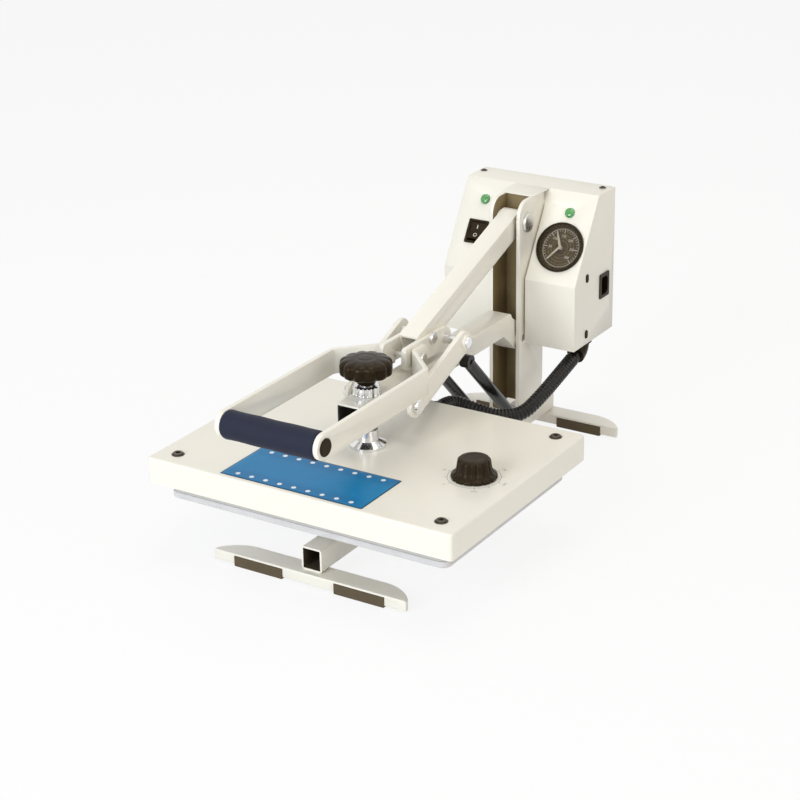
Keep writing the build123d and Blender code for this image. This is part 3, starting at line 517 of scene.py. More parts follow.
def fibre_blanket():
    """Woven glass fibre: crossed threads over a soft, uneven surface."""
    fibre = Finish("fibre_blanket")
    x, y = fibre.along("X"), fibre.along("Y")
    threads = (x * 3600.0).sine() * (y * 3600.0).sine()
    tone = (0.5 + 0.35 * threads + 0.3 * (fibre.noise(30.0, 3.0) - 0.5)).clamped()
    fibre.feed("Base Color", fibre.mix(tone, (0.55, 0.52, 0.44, 1), (0.82, 0.80, 0.72, 1)))
    fibre.feed("Roughness", 0.85 + 0.1 * fibre.noise(50.0))
    return fibre.bump(threads + fibre.noise(300.0, 3.0), 0.0004, 0.6)


def lamp_lens():
    """Coloured lens: deeper at its middle, with the faint facets moulded inside it."""
    chosen = settings("press_finishes")
    lens = Finish("green_lens", Roughness=0.08, Coat_Weight=1.0, Coat_Roughness=0.03)
    facets = lens.cells(420.0)
    lens.tint((facets * 1.4).clamped(), chosen.lamp_green, 0.55, 1.7)
    return lens.bump(facets, 0.0006, 0.4)


def clear_lens():
    """Thin clear cover: it shows what is behind it, under a sharp reflection."""
    lens = Finish("clear_lens", Base_Color=(0.07, 0.05, 0.025, 1), Specular_IOR_Level=1.0)
    lens.feed("Roughness", 0.05 + 0.05 * lens.noise(60.0, 3.0))
    lens.feed("Alpha", 0.10 + 0.05 * lens.noise(35.0, 2.0))
    return lens.material


def satin_paint(name, colour, rough=0.4, grain=0.3):
    """Plain satin paint with a fine grain and a slight drift of tone."""
    paint = Finish(name, Specular_IOR_Level=0.3)
    paint.tint(paint.noise(60.0, 3.0), colour, 0.88, 1.12)
    paint.feed("Roughness", rough + 0.12 * paint.noise(200.0, 2.0))
    return paint.bump(paint.noise(1400.0, 2.0), 0.0001, grain)


def from_gauge(finish):
    """Distance of each point from the middle of the gauge, in metres."""
    offsets = [
        finish.along(axis) - float(middle)
        for axis, middle in zip("XYZ", placed(on_panel(GAUGE[0], GAUGE[1], 0.0)))
    ]
    return sum(offset * offset for offset in offsets).root()


def gauge_bezel():
    """Brown-black case: its seat under the lens has the dial's brown."""
    case = Finish("gauge_bezel", Specular_IOR_Level=0.2, Specular_Tint=(1.0, 0.8, 0.55, 1))
    seat = from_gauge(case) < 0.0302
    grime = case.noise(130.0, 4.0)
    brown = case.mix(grime, (0.022, 0.015, 0.007, 1), (0.075, 0.053, 0.026, 1))
    case.feed("Base Color", case.mix(seat, (0.016, 0.011, 0.006, 1), brown))
    case.feed("Roughness", 0.3 + 0.2 * grime)
    return case.bump(case.noise(1500.0, 2.0), 0.0001, 0.2)


def dial_face():
    """Dark dial: rings of two browns about the gauge's middle, a little mottled.

    The rings are a sine of the distance from the middle, measured across the panel.
    """
    dial = Finish("dial_face", Specular_IOR_Level=0.2)
    far = from_gauge(dial)
    ring = 0.5 + 0.5 * (far * 1500.0).sine()
    tone = (0.45 * ring * (far > 0.009) + 0.6 * dial.noise(160.0, 4.0)).clamped()
    dial.feed("Base Color", dial.mix(tone, (0.020, 0.013, 0.006, 1), (0.17, 0.125, 0.060, 1)))
    dial.feed("Roughness", 0.45 + 0.15 * dial.noise(90.0, 2.0))
    return dial.bump(dial.noise(900.0, 2.0), 0.0001, 0.2)


def ribbed_hose():
    """Corrugated plastic: dark in the valleys, with pale scuffs on the crests."""
    hose = Finish("ribbed_hose", Specular_IOR_Level=0.32)
    crest = hose.node("ShaderNodeAttribute", {"attribute_name": "crest"}, None, "Fac")
    scuff = (crest * (hose.noise(220.0, 3.0) > 0.55) * 0.5).clamped()
    hose.feed("Base Color", hose.mix(scuff, (0.006, 0.005, 0.004, 1), (0.045, 0.035, 0.025, 1)))
    hose.feed("Roughness", 0.2 + 0.2 * hose.noise(120.0, 3.0))
    return hose.bump(hose.noise(1600.0, 2.0), 0.0001, 0.4)


class PRESS_OT_frame_finishes(bpy.types.Operator):
    """Paint, plate and mould the fixed parts of the press"""

    bl_idname = "press.frame_finishes"
    bl_label = "Frame Finishes"

    def execute(self, context):
        # Painted shade for the hollows: near black inside the platen arm's tube, the default dark
        # brown inside the spine, and tan inside the upright's channel, where the walls lie in shadow.
        arm_hollow_shade = (0.02, 0.014, 0.008)
        channel_shade_tan = (0.23, 0.17, 0.08)
        finishes = {
            "front_foot_bar rear_foot_bar table_bracket spring_anchor control_box_shell "
            "control_box_hood control_box_back lever_tube cheek_left cheek_right "
            "handle_bar_left handle_bar_right link_left link_right platen_cover":
                ivory_powder_coat(),
            "base_spine":
                ivory_powder_coat("spine_coat", ((-0.0116, -1, 0.0184), (0.0116, 1, 0.0436))),
            "platen_arm": ivory_powder_coat(
                "arm_coat", ((-0.0143, -1, 0.1394), (0.0143, 0.168, 0.1906)), arm_hollow_shade
            ),
            "upright_plate_left upright_plate_right upright_web": ivory_powder_coat(
                "upright_coat", ((-0.01705, -1, 0), (0.01705, 1, 1)), channel_shade_tan
            ),
            "lower_table": satin_paint("table_paint", (0.62, 0.61, 0.61), 0.35, 0.2),
            "front_foot_pads rear_foot_pads": dark_rubber("foot_rubber", (0.095, 0.070, 0.040)),
            "lever_pivot_pin arm_pivot_pin spring_top_pin cheek_bolt_rear cheek_bolt_front":
                polished_steel("zinc_steel", (0.70, 0.69, 0.67), 0.22),
            "toggle_shaft_front toggle_shaft_rear adjuster_collar spindle_flange":
                polished_steel("chrome", (0.80, 0.80, 0.81), 0.08),
            "spring_rod_left spring_rod_right": polished_steel("rod_chrome", (0.80, 0.80, 0.82), 0.06),
            "switch_bezel switch_rocker power_inlet": moulded_black("moulded_black"),
            "gauge_case": gauge_bezel(),
            "hose_elbow hose_gland": moulded_black("fitting_black", 0.26),
            "gauge_dial": dial_face(),
            "gauge_hand gauge_set_hand": satin_paint("hand_paint", (0.62, 0.55, 0.42), 0.4),
            "gauge_lens": clear_lens(),
            "grip_core": moulded_black("plug_black", 0.42, 0.6),
            "heat_platen": brushed_aluminium(),
            "spring_cylinder_left spring_cylinder_right":
                satin_paint("gloss_black", (0.007, 0.006, 0.005), 0.14, 0.1),
        }
        for names, finish in finishes.items():
            for name in names.split():
                mesh = frame["nodes"][name].data
                mesh.materials.clear()
                mesh.materials.append(finish)
        return {"FINISHED"}


# Hose

# The elbow turns the hose by ELBOW_TURN on a bend of ELBOW_BEND, from under the box towards
# the operator, so the hose starts at the end of that arc and runs on straight for HOSE_LEAD.
ELBOW_TOP = (80.0, 387.0, 146.0)
ELBOW_BEND = 17.0
ELBOW_TURN = math.radians(75.0)
HOSE_LEAD = 42.0
RIB_STEPS = 10
HOSE_START = (
    ELBOW_TOP[0],
    ELBOW_TOP[1] - ELBOW_BEND * (1 - math.cos(ELBOW_TURN)),
    ELBOW_TOP[2] - ELBOW_BEND * math.sin(ELBOW_TURN),
)
HOSE_ROUTE = [
    HOSE_START,
    (
        ELBOW_TOP[0],
        HOSE_START[1] - HOSE_LEAD * math.sin(ELBOW_TURN),
        HOSE_START[2] - HOSE_LEAD * math.cos(ELBOW_TURN),
    ),
    (77.0, 288.0, 103.0),
    (68.0, 254.0, 87.0),
    (49.0, 230.0, 88.0),
    (24.0, 217.0, 97.0),
    (2.0, 205.0, 108.0),
    (-4.0, 188.0, 112.0),
    (-4.0, 165.5, 112.0),
]


def hose_line():
    """The hose's smooth line, as Blender draws a NURBS curve through its route."""
    curve = bpy.data.curves.new("hose_route", "CURVE")
    curve.dimensions = "3D"
    spline = curve.splines.new("NURBS")
    spline.points.add(len(HOSE_ROUTE) - 1)
    route = np.column_stack([placed(HOSE_ROUTE), np.ones(len(HOSE_ROUTE))])
    spline.points.foreach_set("co", route.ravel())
    spline.order_u = 3
    spline.use_endpoint_u = True
    spline.resolution_u = 24
    holder = bpy.data.objects.new("hose_route", curve)
    drawn = bpy.data.meshes.new_from_object(holder)
    points = np.zeros(len(drawn.vertices) * 3)
    drawn.vertices.foreach_get("co", points)
    bpy.data.meshes.remove(drawn)
    bpy.data.objects.remove(holder)
    bpy.data.curves.remove(curve)
    return points.reshape(-1, 3)


class PRESS_OT_hose(bpy.types.Operator):
    """Corrugated hose from the control box to the back of the heated platen"""

    bl_idname = "press.hose"
    bl_label = "Heater Hose"

    def execute(self, context):
        chosen = settings("press_hose")
        line = hose_line()
        run = np.concatenate([[0], np.cumsum(np.linalg.norm(np.diff(line, axis=0), axis=1))])
        ribs = int((run[-1] - 2 * chosen.crest) / chosen.pitch)
        plain = (run[-1] - ribs * chosen.pitch) / 2
        ribbed = plain + chosen.pitch * np.arange(ribs * RIB_STEPS + 1) / RIB_STEPS
        where = np.concatenate([[0, plain * 0.5], ribbed, [run[-1] - plain * 0.5, run[-1]]])
        path = np.column_stack([np.interp(where, run, line[:, axis]) for axis in range(3)])
        # Each rib rises as a flattened sine: half of one minus the cosine, to the power 0.7
        share = 0.5 - 0.5 * np.cos(2 * np.pi * (where - plain) / chosen.pitch)
        share = np.where((where > plain) & (where < run[-1] - plain), share, 0) ** 0.7
        radius = chosen.valley + (chosen.crest - chosen.valley) * share
        rings = tube((path - [0, SPINDLE_Y, 0]) / MM, radius / MM)
        hose = make_piece(
            "ribbed_hose", [capped(rings)], ribbed_hose(),
            replaces=("heater_hose",), sharp=80.0,
        )
        points = np.zeros(len(hose.data.vertices) * 3)
        hose.data.vertices.foreach_get("co", points)
        gap = np.linalg.norm(points.reshape(-1, 1, 3) - path[None, ::2], axis=2).min(axis=1)
        rise = (gap - chosen.valley) / (chosen.crest - chosen.valley)
        crest = hose.data.attributes.new("crest", "FLOAT", "POINT")
        crest.data.foreach_set("value", np.clip(rise, 0, 1))
        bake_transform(hose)
        return {"FINISHED"}


# Soft pieces


class PRESS_OT_grip(bpy.types.Operator):
    """Foam sleeve on the handle's cross tube"""

    bl_idname = "press.grip"
    bl_label = "Foam Grip"

    def execute(self, context):
        half, outer, bore, round_from = 62.4, 17.0, 9.1, 0.93
        along = steps_between(-1.0, -round_from, round_from, 1.0, count=14)[:, None]
        angle = np.linspace(0, 2 * np.pi, 96, endpoint=False)[None, :]
        # The sleeve is a fat cylinder whose ends round over as a quarter of an ellipse, with
        # slow waves worn by a hand, which fade out at the ends.
        end = np.clip((np.abs(along) - round_from) / 0.07, 0, 1)
        worn = 0.22 * np.sin(5 * along + 1.3) * np.cos(angle * 2 + 3 * along)
        worn = worn - 0.15 * np.cos(9 * along)
        radius = outer - 0.2 - 2.6 * (1 - np.sqrt(1 - end**2 * 0.97)) + worn * (1 - end)
        inner_x = np.array([half, half, half * 0.5, -half * 0.5, -half, -half])[:, None]
        inner_r = np.array([outer - 4.2, bore, bore, bore, bore, outer - 4.2])[:, None]
        rings = [
            np.stack([x + 0 * angle, GRIP[0] + r * np.cos(angle), GRIP[1] + r * np.sin(angle)], -1)
            for x, r in ((along * half, radius), (inner_x, inner_r))
        ]
        grip = make_piece(
            "foam_sleeve", [(np.concatenate(rings), True)], navy_foam(),
            "lever", ("foam_grip",),
        )
        return {"FINISHED"}


class PRESS_OT_platen_layers(bpy.types.Operator):
    """Silicone rubber on the table and the fibre blanket over the heater"""

    bl_idname = "press.platen_layers"
    bl_label = "Rubber And Blanket"

    def execute(self, context):
        rubber = dark_rubber(
            "silicone_rubber", (0.52, 0.505, 0.48), 0.5, 900.0, 0.0002, bloom_range=(0.96, 1.05),
        )
        rows = [
            (2.0, 81.0), (0.4, 81.3), (0.0, 82.2), (0.0, 86.8), (0.3, 88.0), (1.1, 88.8),
            (2.6, 89.0),
        ]
        pad = make_piece(
            "silicone_sheet", [slab(190.0, 139.0, 11.5, rows)], rubber,
            "stand", ("silicone_pad",),
        )
        rows = [
            (3.0, 101.0), (0.5, 102.5), (0.0, 106.0), (0.0, 119.0), (0.8, 122.5), (3.0, 124.6),
            (7.0, 124.9),
        ]
        blanket = make_piece(
            "fibre_blanket", [slab(180.0, 129.0, 10.0, rows)], fibre_blanket(),
            "platen", ("insulation_blanket",),
        )
        return {"FINISHED"}


# Knobs and spindle


class PRESS_OT_pressure_knob(bpy.types.Operator):
    """Crowned knob with finger scallops, on top of the spindle"""

    bl_idname = "press.pressure_knob"
    bl_label = "Pressure Knob"

    def execute(self, context):
        count = settings("press_knobs").scallops

        def scallops(angle, height):
            # The rim is cut by shallow hollows: the radius falls with the fourth power of
            # the cosine of half the angle between them, and only outside the hub.
            cut = np.cos(angle * count / 2) ** 4
            rim = np.clip((height - 216.5) / 2.0, 0, 1) * np.clip((238.6 - height) / 1.4, 0, 1)
            return 1 - 0.085 * cut * rim

        profile = [
            (8.2, 207.0), (10.4, 207.0), (11.0, 207.6), (11.2, 212.0), (12.0, 215.0), (14.0, 216.6),
            (22.0, 217.3), (28.6, 218.3), (30.8, 220.0), (31.5, 222.6), (31.5, 227.0), (31.5, 231.0),
            (31.0, 233.4), (29.6, 235.2), (27.0, 236.6), (22.5, 237.7), (16.0, 238.5), (11.0, 238.9),
            (10.2, 238.7), (9.4, 238.9), (4.0, 239.0),
        ]
        # The knob's plastic has the most pale specks: painted glints, with a little dust.
        make_piece(
            "pressure_knob_crown", [capped(turned(profile, steps=240, swell=scallops))],
            moulded_black("knob_black", 0.24, 0.35, 0.9), "spindle",
            ("pressure_knob",), sharp=50.0,
        )
        return {"FINISHED"}


class PRESS_OT_spindle(bpy.types.Operator):
    """Threaded spindle between the knob and the platen's flange"""

    bl_idname = "press.spindle"
    bl_label = "Spindle Thread"

    def execute(self, context):
        pitch = settings("press_knobs").thread_pitch / MM
        low, high = 130.3, 229.5
        height = np.linspace(low, high, int((high - low) / pitch * 8))[:, None]
        angle = np.linspace(0, 2 * np.pi, 40, endpoint=False)[None, :]
        # The thread is a triangle wave of the height less the angle's share of one pitch
        wave = np.abs(((height / pitch - angle / (2 * np.pi)) % 1.0) * 2 - 1)
        fade = np.clip((height - low) / 3, 0, 1)
        radius = 7.95 - 1.1 * (1 - wave) * fade - 0.9 * (1 - fade)
        points = np.stack([radius * np.cos(angle), radius * np.sin(angle), height + 0 * angle], -1)
        make_piece(
            "spindle_thread", [capped(points)],
            polished_steel("thread_steel", (0.72, 0.72, 0.72), 0.18), "spindle",
            ("spindle_screw",), sharp=70.0,
        )
        return {"FINISHED"}


class PRESS_OT_thermostat_knob(bpy.types.Operator):
    """Fluted thermostat knob with a flared, notched skirt"""

    bl_idname = "press.thermostat_knob"
    bl_label = "Thermostat Knob"

    def execute(self, context):
        count = settings("press_knobs").flutes

        def flutes(angle, height):
            # Flutes are the sixth power of a cosine between the skirt and the crown; the
            # skirt's edge has the same number of narrow notches, half a flute further on.
            rise = height - COVER_TOP
            body = np.clip((rise - 5.0) / 3.0, 0, 1) * np.clip((23.6 - rise) / 1.6, 0, 1)
            edge = np.clip((4.6 - rise) / 1.2, 0, 1)
            groove = np.cos(angle * count / 2) ** 6
            notch = np.sin(angle * count / 2) ** 24
            return 1 - 0.085 * groove * body - 0.06 * notch * edge

        profile = [
            (26.0, 0.4), (26.8, 0.7), (27.0, 1.4), (27.0, 3.0), (26.6, 3.9), (25.6, 4.7), (24.0, 5.8),
            (22.6, 7.2), (21.6, 9.0), (20.8, 11.5), (20.2, 14.5), (19.8, 18.0), (19.5, 20.6),
            (18.8, 22.3), (17.4, 23.5), (15.0, 24.2), (12.0, 24.4), (10.4, 24.1), (9.0, 24.0),
            (3.0, 24.0),
        ]
        knob = turned(
            [(r, COVER_TOP + h) for r, h in profile], THERMOSTAT, steps=280, swell=flutes
        )
        # This knob's plastic also has many pale specks: painted glints, with a little dust.
        make_piece(
            "thermostat_knob_fluted", [capped(knob)],
            moulded_black("dial_knob_black", 0.3, 0.4, 0.7), "thermostat",
            ("thermostat_knob",), sharp=45.0,
        )
        return {"FINISHED"}


class PRESS_OT_dial_ring(bpy.types.Operator):
    """Printed ring and ticks round the thermostat knob"""

    bl_idname = "press.dial_ring"
    bl_label = "Dial Ring"

    def execute(self, context):
        grey = satin_paint("printed_grey", (0.42, 0.41, 0.38), 0.4, 0.1)
        low, high = COVER_TOP - 0.15, COVER_TOP + 0.06
        patches = [printed_ring(THERMOSTAT, 30.6, 31.4, low, high)]
        for turn in np.radians(np.arange(-150, 151, 30) + 90):
            patches.append(tick(THERMOSTAT, turn, 31.2, 35.0, 0.45, low, high))
        make_piece("dial_ring", patches, grey, "platen")
        marks = around(THERMOSTAT, 39.5, np.radians(np.arange(-150, 151, 60)))
        numerals(
            "dial_numbers", [(word, x, y, -turn) for word, x, y, turn in marks], 5.2,
            lambda x, y, z: np.stack([x, y, COVER_TOP + 0.06 + z], axis=-1),
            grey, "platen",
        )
        return {"FINISHED"}


def tick(centre, turn, near, far, half, low, high):
    """A thin bar that points away from a centre: its four corners at two heights."""
    out = np.array([math.cos(turn), math.sin(turn)])
    aside = np.array([-out[1], out[0]]) * half
    near, far = out * near, out * far
    corners = np.array([near - aside, far - aside, far + aside, near + aside])
    rows = [np.column_stack([corners + centre, np.full(4, height)]) for height in (low, high)]
    middle = np.column_stack([np.tile(corners.mean(axis=0) + centre, (4, 1)), np.full(4, low)])
    top = middle + [0, 0, high - low]
    return np.array([middle, rows[0], rows[1], top]), True


def printed_ring(centre, inner, outer, low, high, steps=96):
    """A flat ring: a turned profile whose last corner joins its first."""
    profile = [(inner, low), (outer, low), (outer, high), (inner, high)]
    return turned(profile, centre, steps), True


def around(centre, radius, turns):
    """Multiples of 50 on a circle, clockwise from its far side: (word, x, y, turn)."""
    return [
        (str(number * 50), centre[0] + radius * math.sin(turn),
         centre[1] + radius * math.cos(turn), turn)
        for number, turn in enumerate(turns)
    ]


# Label plate and fasteners


class PRESS_OT_label(bpy.types.Operator):
    """Blue plate with a row of white dots along each long edge"""

    bl_idname = "press.label"
    bl_label = "Label Plate"

    def execute(self, context):
        chosen = settings("press_label")
        blue = tuple(settings("press_finishes").label_blue)
        half = (chosen.width / 2 / MM, chosen.depth / 2 / MM)
        plate = Finish("label_plate", Coat_Weight=0.04, Coat_Roughness=0.12, Specular_IOR_Level=0.15)
        # x and y run from -1 to 1 over the plate. A dot is where the distance from the middle
        # of its cell along x and from its row along y is under the dots' radius.
        x = (plate.along("X") - LABEL_CENTRE[0] * MM) / (half[0] * MM)
        y = (plate.along("Y") - (SPINDLE_Y + LABEL_CENTRE[1] * MM)) / (half[1] * MM)
        cell = (x * (chosen.dots / 2) + 0.5 * (chosen.dots % 2 + 1)).fraction() - 0.5
        cell = cell * (2 * half[0] / chosen.dots)
        row = (abs(y) - 0.79) * half[1]
        dots = ((cell * cell + row * row).root() < 2.9) * (abs(x) < 0.97)
        outline = 1 - (abs(x) < 0.985) * (abs(y) < 0.965)
        band = 1 - (abs(y) / 0.62).clamped() ** 6
        mottle = plate.noise(90.0, 4.0)
        tone = (0.22 * band + 0.35 * mottle + 0.18 * x * x).clamped()
        base = plate.mix(tone, shade(blue, 0.8), (0.01, 0.26, 0.52, 1))
        base = plate.mix(outline, base, (0.010, 0.055, 0.10, 1))
        plate.feed("Base Color", plate.mix(dots, base, (0.78, 0.82, 0.84, 1)))
        plate.feed("Roughness", 0.26 + 0.12 * plate.noise(180.0, 3.0))
        rises = ((0.6, -0.2), (0.0, -0.1), (0.0, 0.32), (0.25, 0.45), (4.0, 0.45))
        rows = [(inset, COVER_TOP + rise) for inset, rise in rises]
        make_piece(
            "label_plate", [slab(half[0], half[1], 1.5, rows, LABEL_CENTRE, 6)],
            plate.bump(mottle, 0.0002, 0.3), "platen",
        )
        return {"FINISHED"}


def cap_screw(x, y, z, radius=6.2, socket=2.6, height=2.6):
    """A socket-head screw: a domed head with a six-sided hole.

    The hole's radius follows the hexagon's rule: the flat's distance divided by the cosine
    of the angle from it.
    """
    angle = np.linspace(0, 2 * np.pi, 36, endpoint=False)[None, :]
    hexagon = 1 / np.cos((angle + np.pi / 6) % (np.pi / 3) - np.pi / 6)
    rows = [
        (radius + 1.6, -0.3, 0), (radius + 1.6, 0.5, 0), (radius + 1.0, 0.8, 0), (radius, 0.8, 0),
        (radius, height - 0.8, 0), (radius - 0.7, height, 0), (socket * 1.35, height, 0),
        (socket, height - 0.2, 1), (socket, 0.9, 1), (0.4, 0.9, 1),
    ]
    r, h, six = (np.array(column)[:, None] for column in zip(*rows))
    r = r * np.where(six > 0, hexagon, 1.0)
    return capped(
        np.stack([x + r * np.cos(angle), y + r * np.sin(angle), z + h + 0 * angle], axis=-1)
    )


class PRESS_OT_fasteners(bpy.types.Operator):
    """Socket screws on the cover and the control box, and the oval plugs on its side"""

    bl_idname = "press.fasteners"
    bl_label = "Fasteners"

    def execute(self, context):
        dark = polished_steel("black_oxide", (0.10, 0.085, 0.07), 0.3)
        corners = [
            (across * COVER_SCREW[0], back * COVER_SCREW[1]) for across in (-1, 1) for back in (-1, 1)
        ]
        make_piece(
            "cover_screws", [cap_screw(x, y, COVER_TOP) for x, y in corners],
            dark, "platen",
        )
        make_piece(
            "box_screws", [cap_screw(x, y, BOX_TOP, 3.0, 1.4, 1.8) for x, y in BOX_SCREWS],
            dark, "stand",
        )
        plastic = moulded_black("plug_plastic", 0.4)
        rows = [(1.2, -0.2), (0.0, 0.0), (0.0, 0.8), (0.5, 1.3), (2.4, 1.6)]
        oval, loop = slab(3.4, 5.6, 3.3, rows)
        plugs = [
            (np.stack([BOX_SIDE + oval[..., 2], y + oval[..., 0], z + oval[..., 1]], -1), loop)
            for y, z in SIDE_PLUGS
        ]
        make_piece("side_plugs", plugs, plastic, "stand")
        return {"FINISHED"}


class PRESS_OT_link_bolts(bpy.types.Operator):
    """Domed bolt heads on the round rear ends of the toggle links"""

    bl_idname = "press.link_bolts"
    bl_label = "Link Bolts"

    def execute(self, context):
        chrome = polished_steel("bolt_chrome", (0.80, 0.80, 0.81), 0.10)
        profile = [
            (7.4, -0.4), (7.6, 0.0), (7.6, 0.9), (7.1, 1.7), (5.6, 2.5), (3.4, 3.0), (1.2, 3.2),
        ]
        head = turned(profile, LINK_REAR, steps=40)
        heads = [
            capped(np.stack([side * (LINK_OUTER + head[..., 2]), head[..., 0], head[..., 1]], -1))
            for side in (-1, 1)
        ]
        make_piece("link_bolts", heads, chrome, "toggle_links")
        return {"FINISHED"}


class PRESS_OT_gauge_marks(bpy.types.Operator):
    """Printed ring, ticks and numbers on the temperature gauge"""

    bl_idname = "press.gauge_marks"
    bl_label = "Gauge Marks"

    def execute(self, context):
        pale = satin_paint("dial_print", (0.72, 0.68, 0.60), 0.45, 0.1)
        low, high = -2.85, -2.74
        patches = [printed_ring((0, 0), 24.6, 25.1, low, high)]
        for number, turn in enumerate(np.radians(np.linspace(-135, 135, 31) + 90)):
            near, half = (22.0, 0.22) if number % 5 else (19.4, 0.42)
            patches.append(tick((0, 0), turn, near, 24.7, half, low, high))
        patches = [
            (on_panel(GAUGE[0] + p[..., 0], GAUGE[1] + p[..., 1], p[..., 2]), loop)
            for p, loop in patches
        ]
        make_piece("gauge_marks", patches, pale, "stand")
        marks = around(GAUGE, 15.6, np.radians(np.linspace(-135, 135, 7)))
        numerals(
            "gauge_numbers", [(word, x, y, 0.0) for word, x, y, turn in marks], 4.6,
            lambda x, y, z: on_panel(x, y, z - 2.76), pale, "stand",
        )
        return {"FINISHED"}


class PRESS_OT_lamps(bpy.types.Operator):
    """Domed green lenses of the two signal lamps"""

    bl_idname = "press.lamps"
    bl_label = "Signal Lamps"

    def execute(self, context):
        finish = lamp_lens()
        profile = [
            (6.2, -5.8), (6.5, -5.5), (6.5, 0.6), (6.45, 1.2), (6.1, 2.0), (5.3, 2.75), (4.0, 3.2),
            (2.4, 3.42), (0.9, 3.48),
        ]
        for side, x in (("left", -LAMP[0]), ("right", LAMP[0])):
            dome = turned(profile, (x, LAMP[1]), steps=56)
            dome = on_panel(dome[..., 0], dome[..., 1], dome[..., 2])
            make_piece(
                f"lamp_dome_{side}", [capped(dome)], finish,
                "stand", (f"lamp_{side}",), sharp=50.0,
            )
        return {"FINISHED"}


class PRESS_OT_switch_marks(bpy.types.Operator):
    """Moulded bar and ring on the two halves of the rocker"""

    bl_idname = "press.switch_marks"
    bl_label = "Switch Marks"

    def execute(self, context):
        def on_half(patch, middle, along):
            """A flat mark laid on a half whose middle and direction are (up, out)."""
            points, loop = patch
            along = np.array(along) / np.hypot(*along)
            up = middle[0] + points[..., 1] * along[0] - points[..., 2] * along[1]
            out = middle[1] + points[..., 1] * along[1] + points[..., 2] * along[0]
            return on_panel(SWITCH[0] + points[..., 0], SWITCH[1] + up, out), loop

        white = satin_paint("mark_white", (0.70, 0.68, 0.64), 0.4, 0.1)
        bar = tick((0, 0), math.pi / 2, -2.6, 2.6, 0.6, -0.2, 0.1)
        ring = printed_ring((0, 0), 1.8, 2.6, -0.2, 0.1, 40)
        make_piece(
            "switch_marks",
            [
                on_half(bar, (6.3, 0.975), (11.39, 0.818)),
                on_half(ring, (-4.9, 2.34), (10.85, -3.548)),
            ],
            white, "rocker",
        )
        return {"FINISHED"}


def numerals(name, marks, size, place, finish, body):
    """Small printed numbers, each (word, x, y, turn), as one mesh laid by place(x, y, z)."""
    vertices, faces, start = [], [], 0
    for word, x, y, turn in marks:
        curve = bpy.data.curves.new("number", "FONT")
        curve.body, curve.size, curve.extrude = word, size, 0.05
        curve.align_x, curve.align_y = "CENTER", "CENTER"
        holder = bpy.data.objects.new("number", curve)
        drawn = bpy.data.meshes.new_from_object(holder)
        flat = np.zeros(len(drawn.vertices) * 3)
        drawn.vertices.foreach_get("co", flat)
        flat = flat.reshape(-1, 3)
        cosine, sine = math.cos(turn), math.sin(turn)
        across = x + flat[:, 0] * cosine - flat[:, 1] * sine
        along = y + flat[:, 0] * sine + flat[:, 1] * cosine
        vertices.append(place(across, along, flat[:, 2]))
        faces += [[start + v for v in face.vertices] for face in drawn.polygons]
        start += len(flat)
        bpy.data.meshes.remove(drawn)
        bpy.data.objects.remove(holder)
        bpy.data.curves.remove(curve)
    mesh = bpy.data.meshes.new(name)
    mesh.from_pydata(placed(np.concatenate(vertices)), [], faces)
    show(name, mesh, finish, body)


class PRESS_OT_rounded_edges(bpy.types.Operator):
    """Soften the folded and sawn edges of the painted sheet and tube"""

    bl_idname = "press.rounded_edges"
    bl_label = "Rounded Edges"

    def execute(self, context):
        bodies = frame["record"]["behaviour"]["bodies"]
        for name, width in EDGE_WIDTHS.items():
            source = frame["nodes"][name]
            shape = bmesh.new()
            shape.from_mesh(source.data)
            bmesh.ops.remove_doubles(shape, verts=shape.verts, dist=CAD_WELD)
            bmesh.ops.dissolve_limit(
                shape, angle_limit=math.radians(0.6), verts=shape.verts, edges=shape.edges
            )
            mesh = bpy.data.meshes.new(f"{name}_edged")
            shape.to_mesh(mesh)
            shape.free()
            mesh.shade_smooth()
            body = next(body for body, names in bodies.items() if name in names)
            finish = source.data.materials[0]
            made = show(f"{name}_edged", mesh, finish, body, (name,))
            bevel = made.modifiers.new("rounded_edges", "BEVEL")
            bevel.width, bevel.segments = width * MM, 2
            # Under the 31 degrees of the panel's bend, which has to stay a crisp line
            bevel.limit_method, bevel.angle_limit = "ANGLE", math.radians(26)
            bevel.harden_normals = True
        return {"FINISHED"}


# Studio

CAMERA_PLACE = (1.2422, -2.0085, 1.1253)
CAMERA_ANGLES = (32.378, 22.616, -1.06)
LAMPS = {
    "key": ((-0.5, -2.9, 1.25), (0, 0, 0.17), 1.7, (0.88, 0.94, 1.0)),
    "overhead": ((0.3, 0.3, 2.6), (0, 0, 0.1), 1.6, (1.0, 0.95, 0.84)),
    "fill": ((2.4, -0.9, 1.1), (0, 0, 0.15), 1.4, (1.0, 0.95, 0.86)),
}
FLOOR_REACH = 30.0
FLOOR_GLOW = 0.86


def area_lamp(name, power, place, target, size, tint):
    """A round soft lamp of a size and tint, aimed from its place at a target."""
    data = bpy.data.lights.new(name, "AREA")
    data.shape, data.size, data.energy, data.color = "DISK", size, power, tint
    lamp = bpy.data.objects.new(name, data)
    aim = (Vector(target) - Vector(place)).to_track_quat("-Z", "Y")
    lamp.matrix_world = Matrix.Translation(place) @ aim.to_matrix().to_4x4()
    bpy.context.scene.collection.objects.link(lamp)


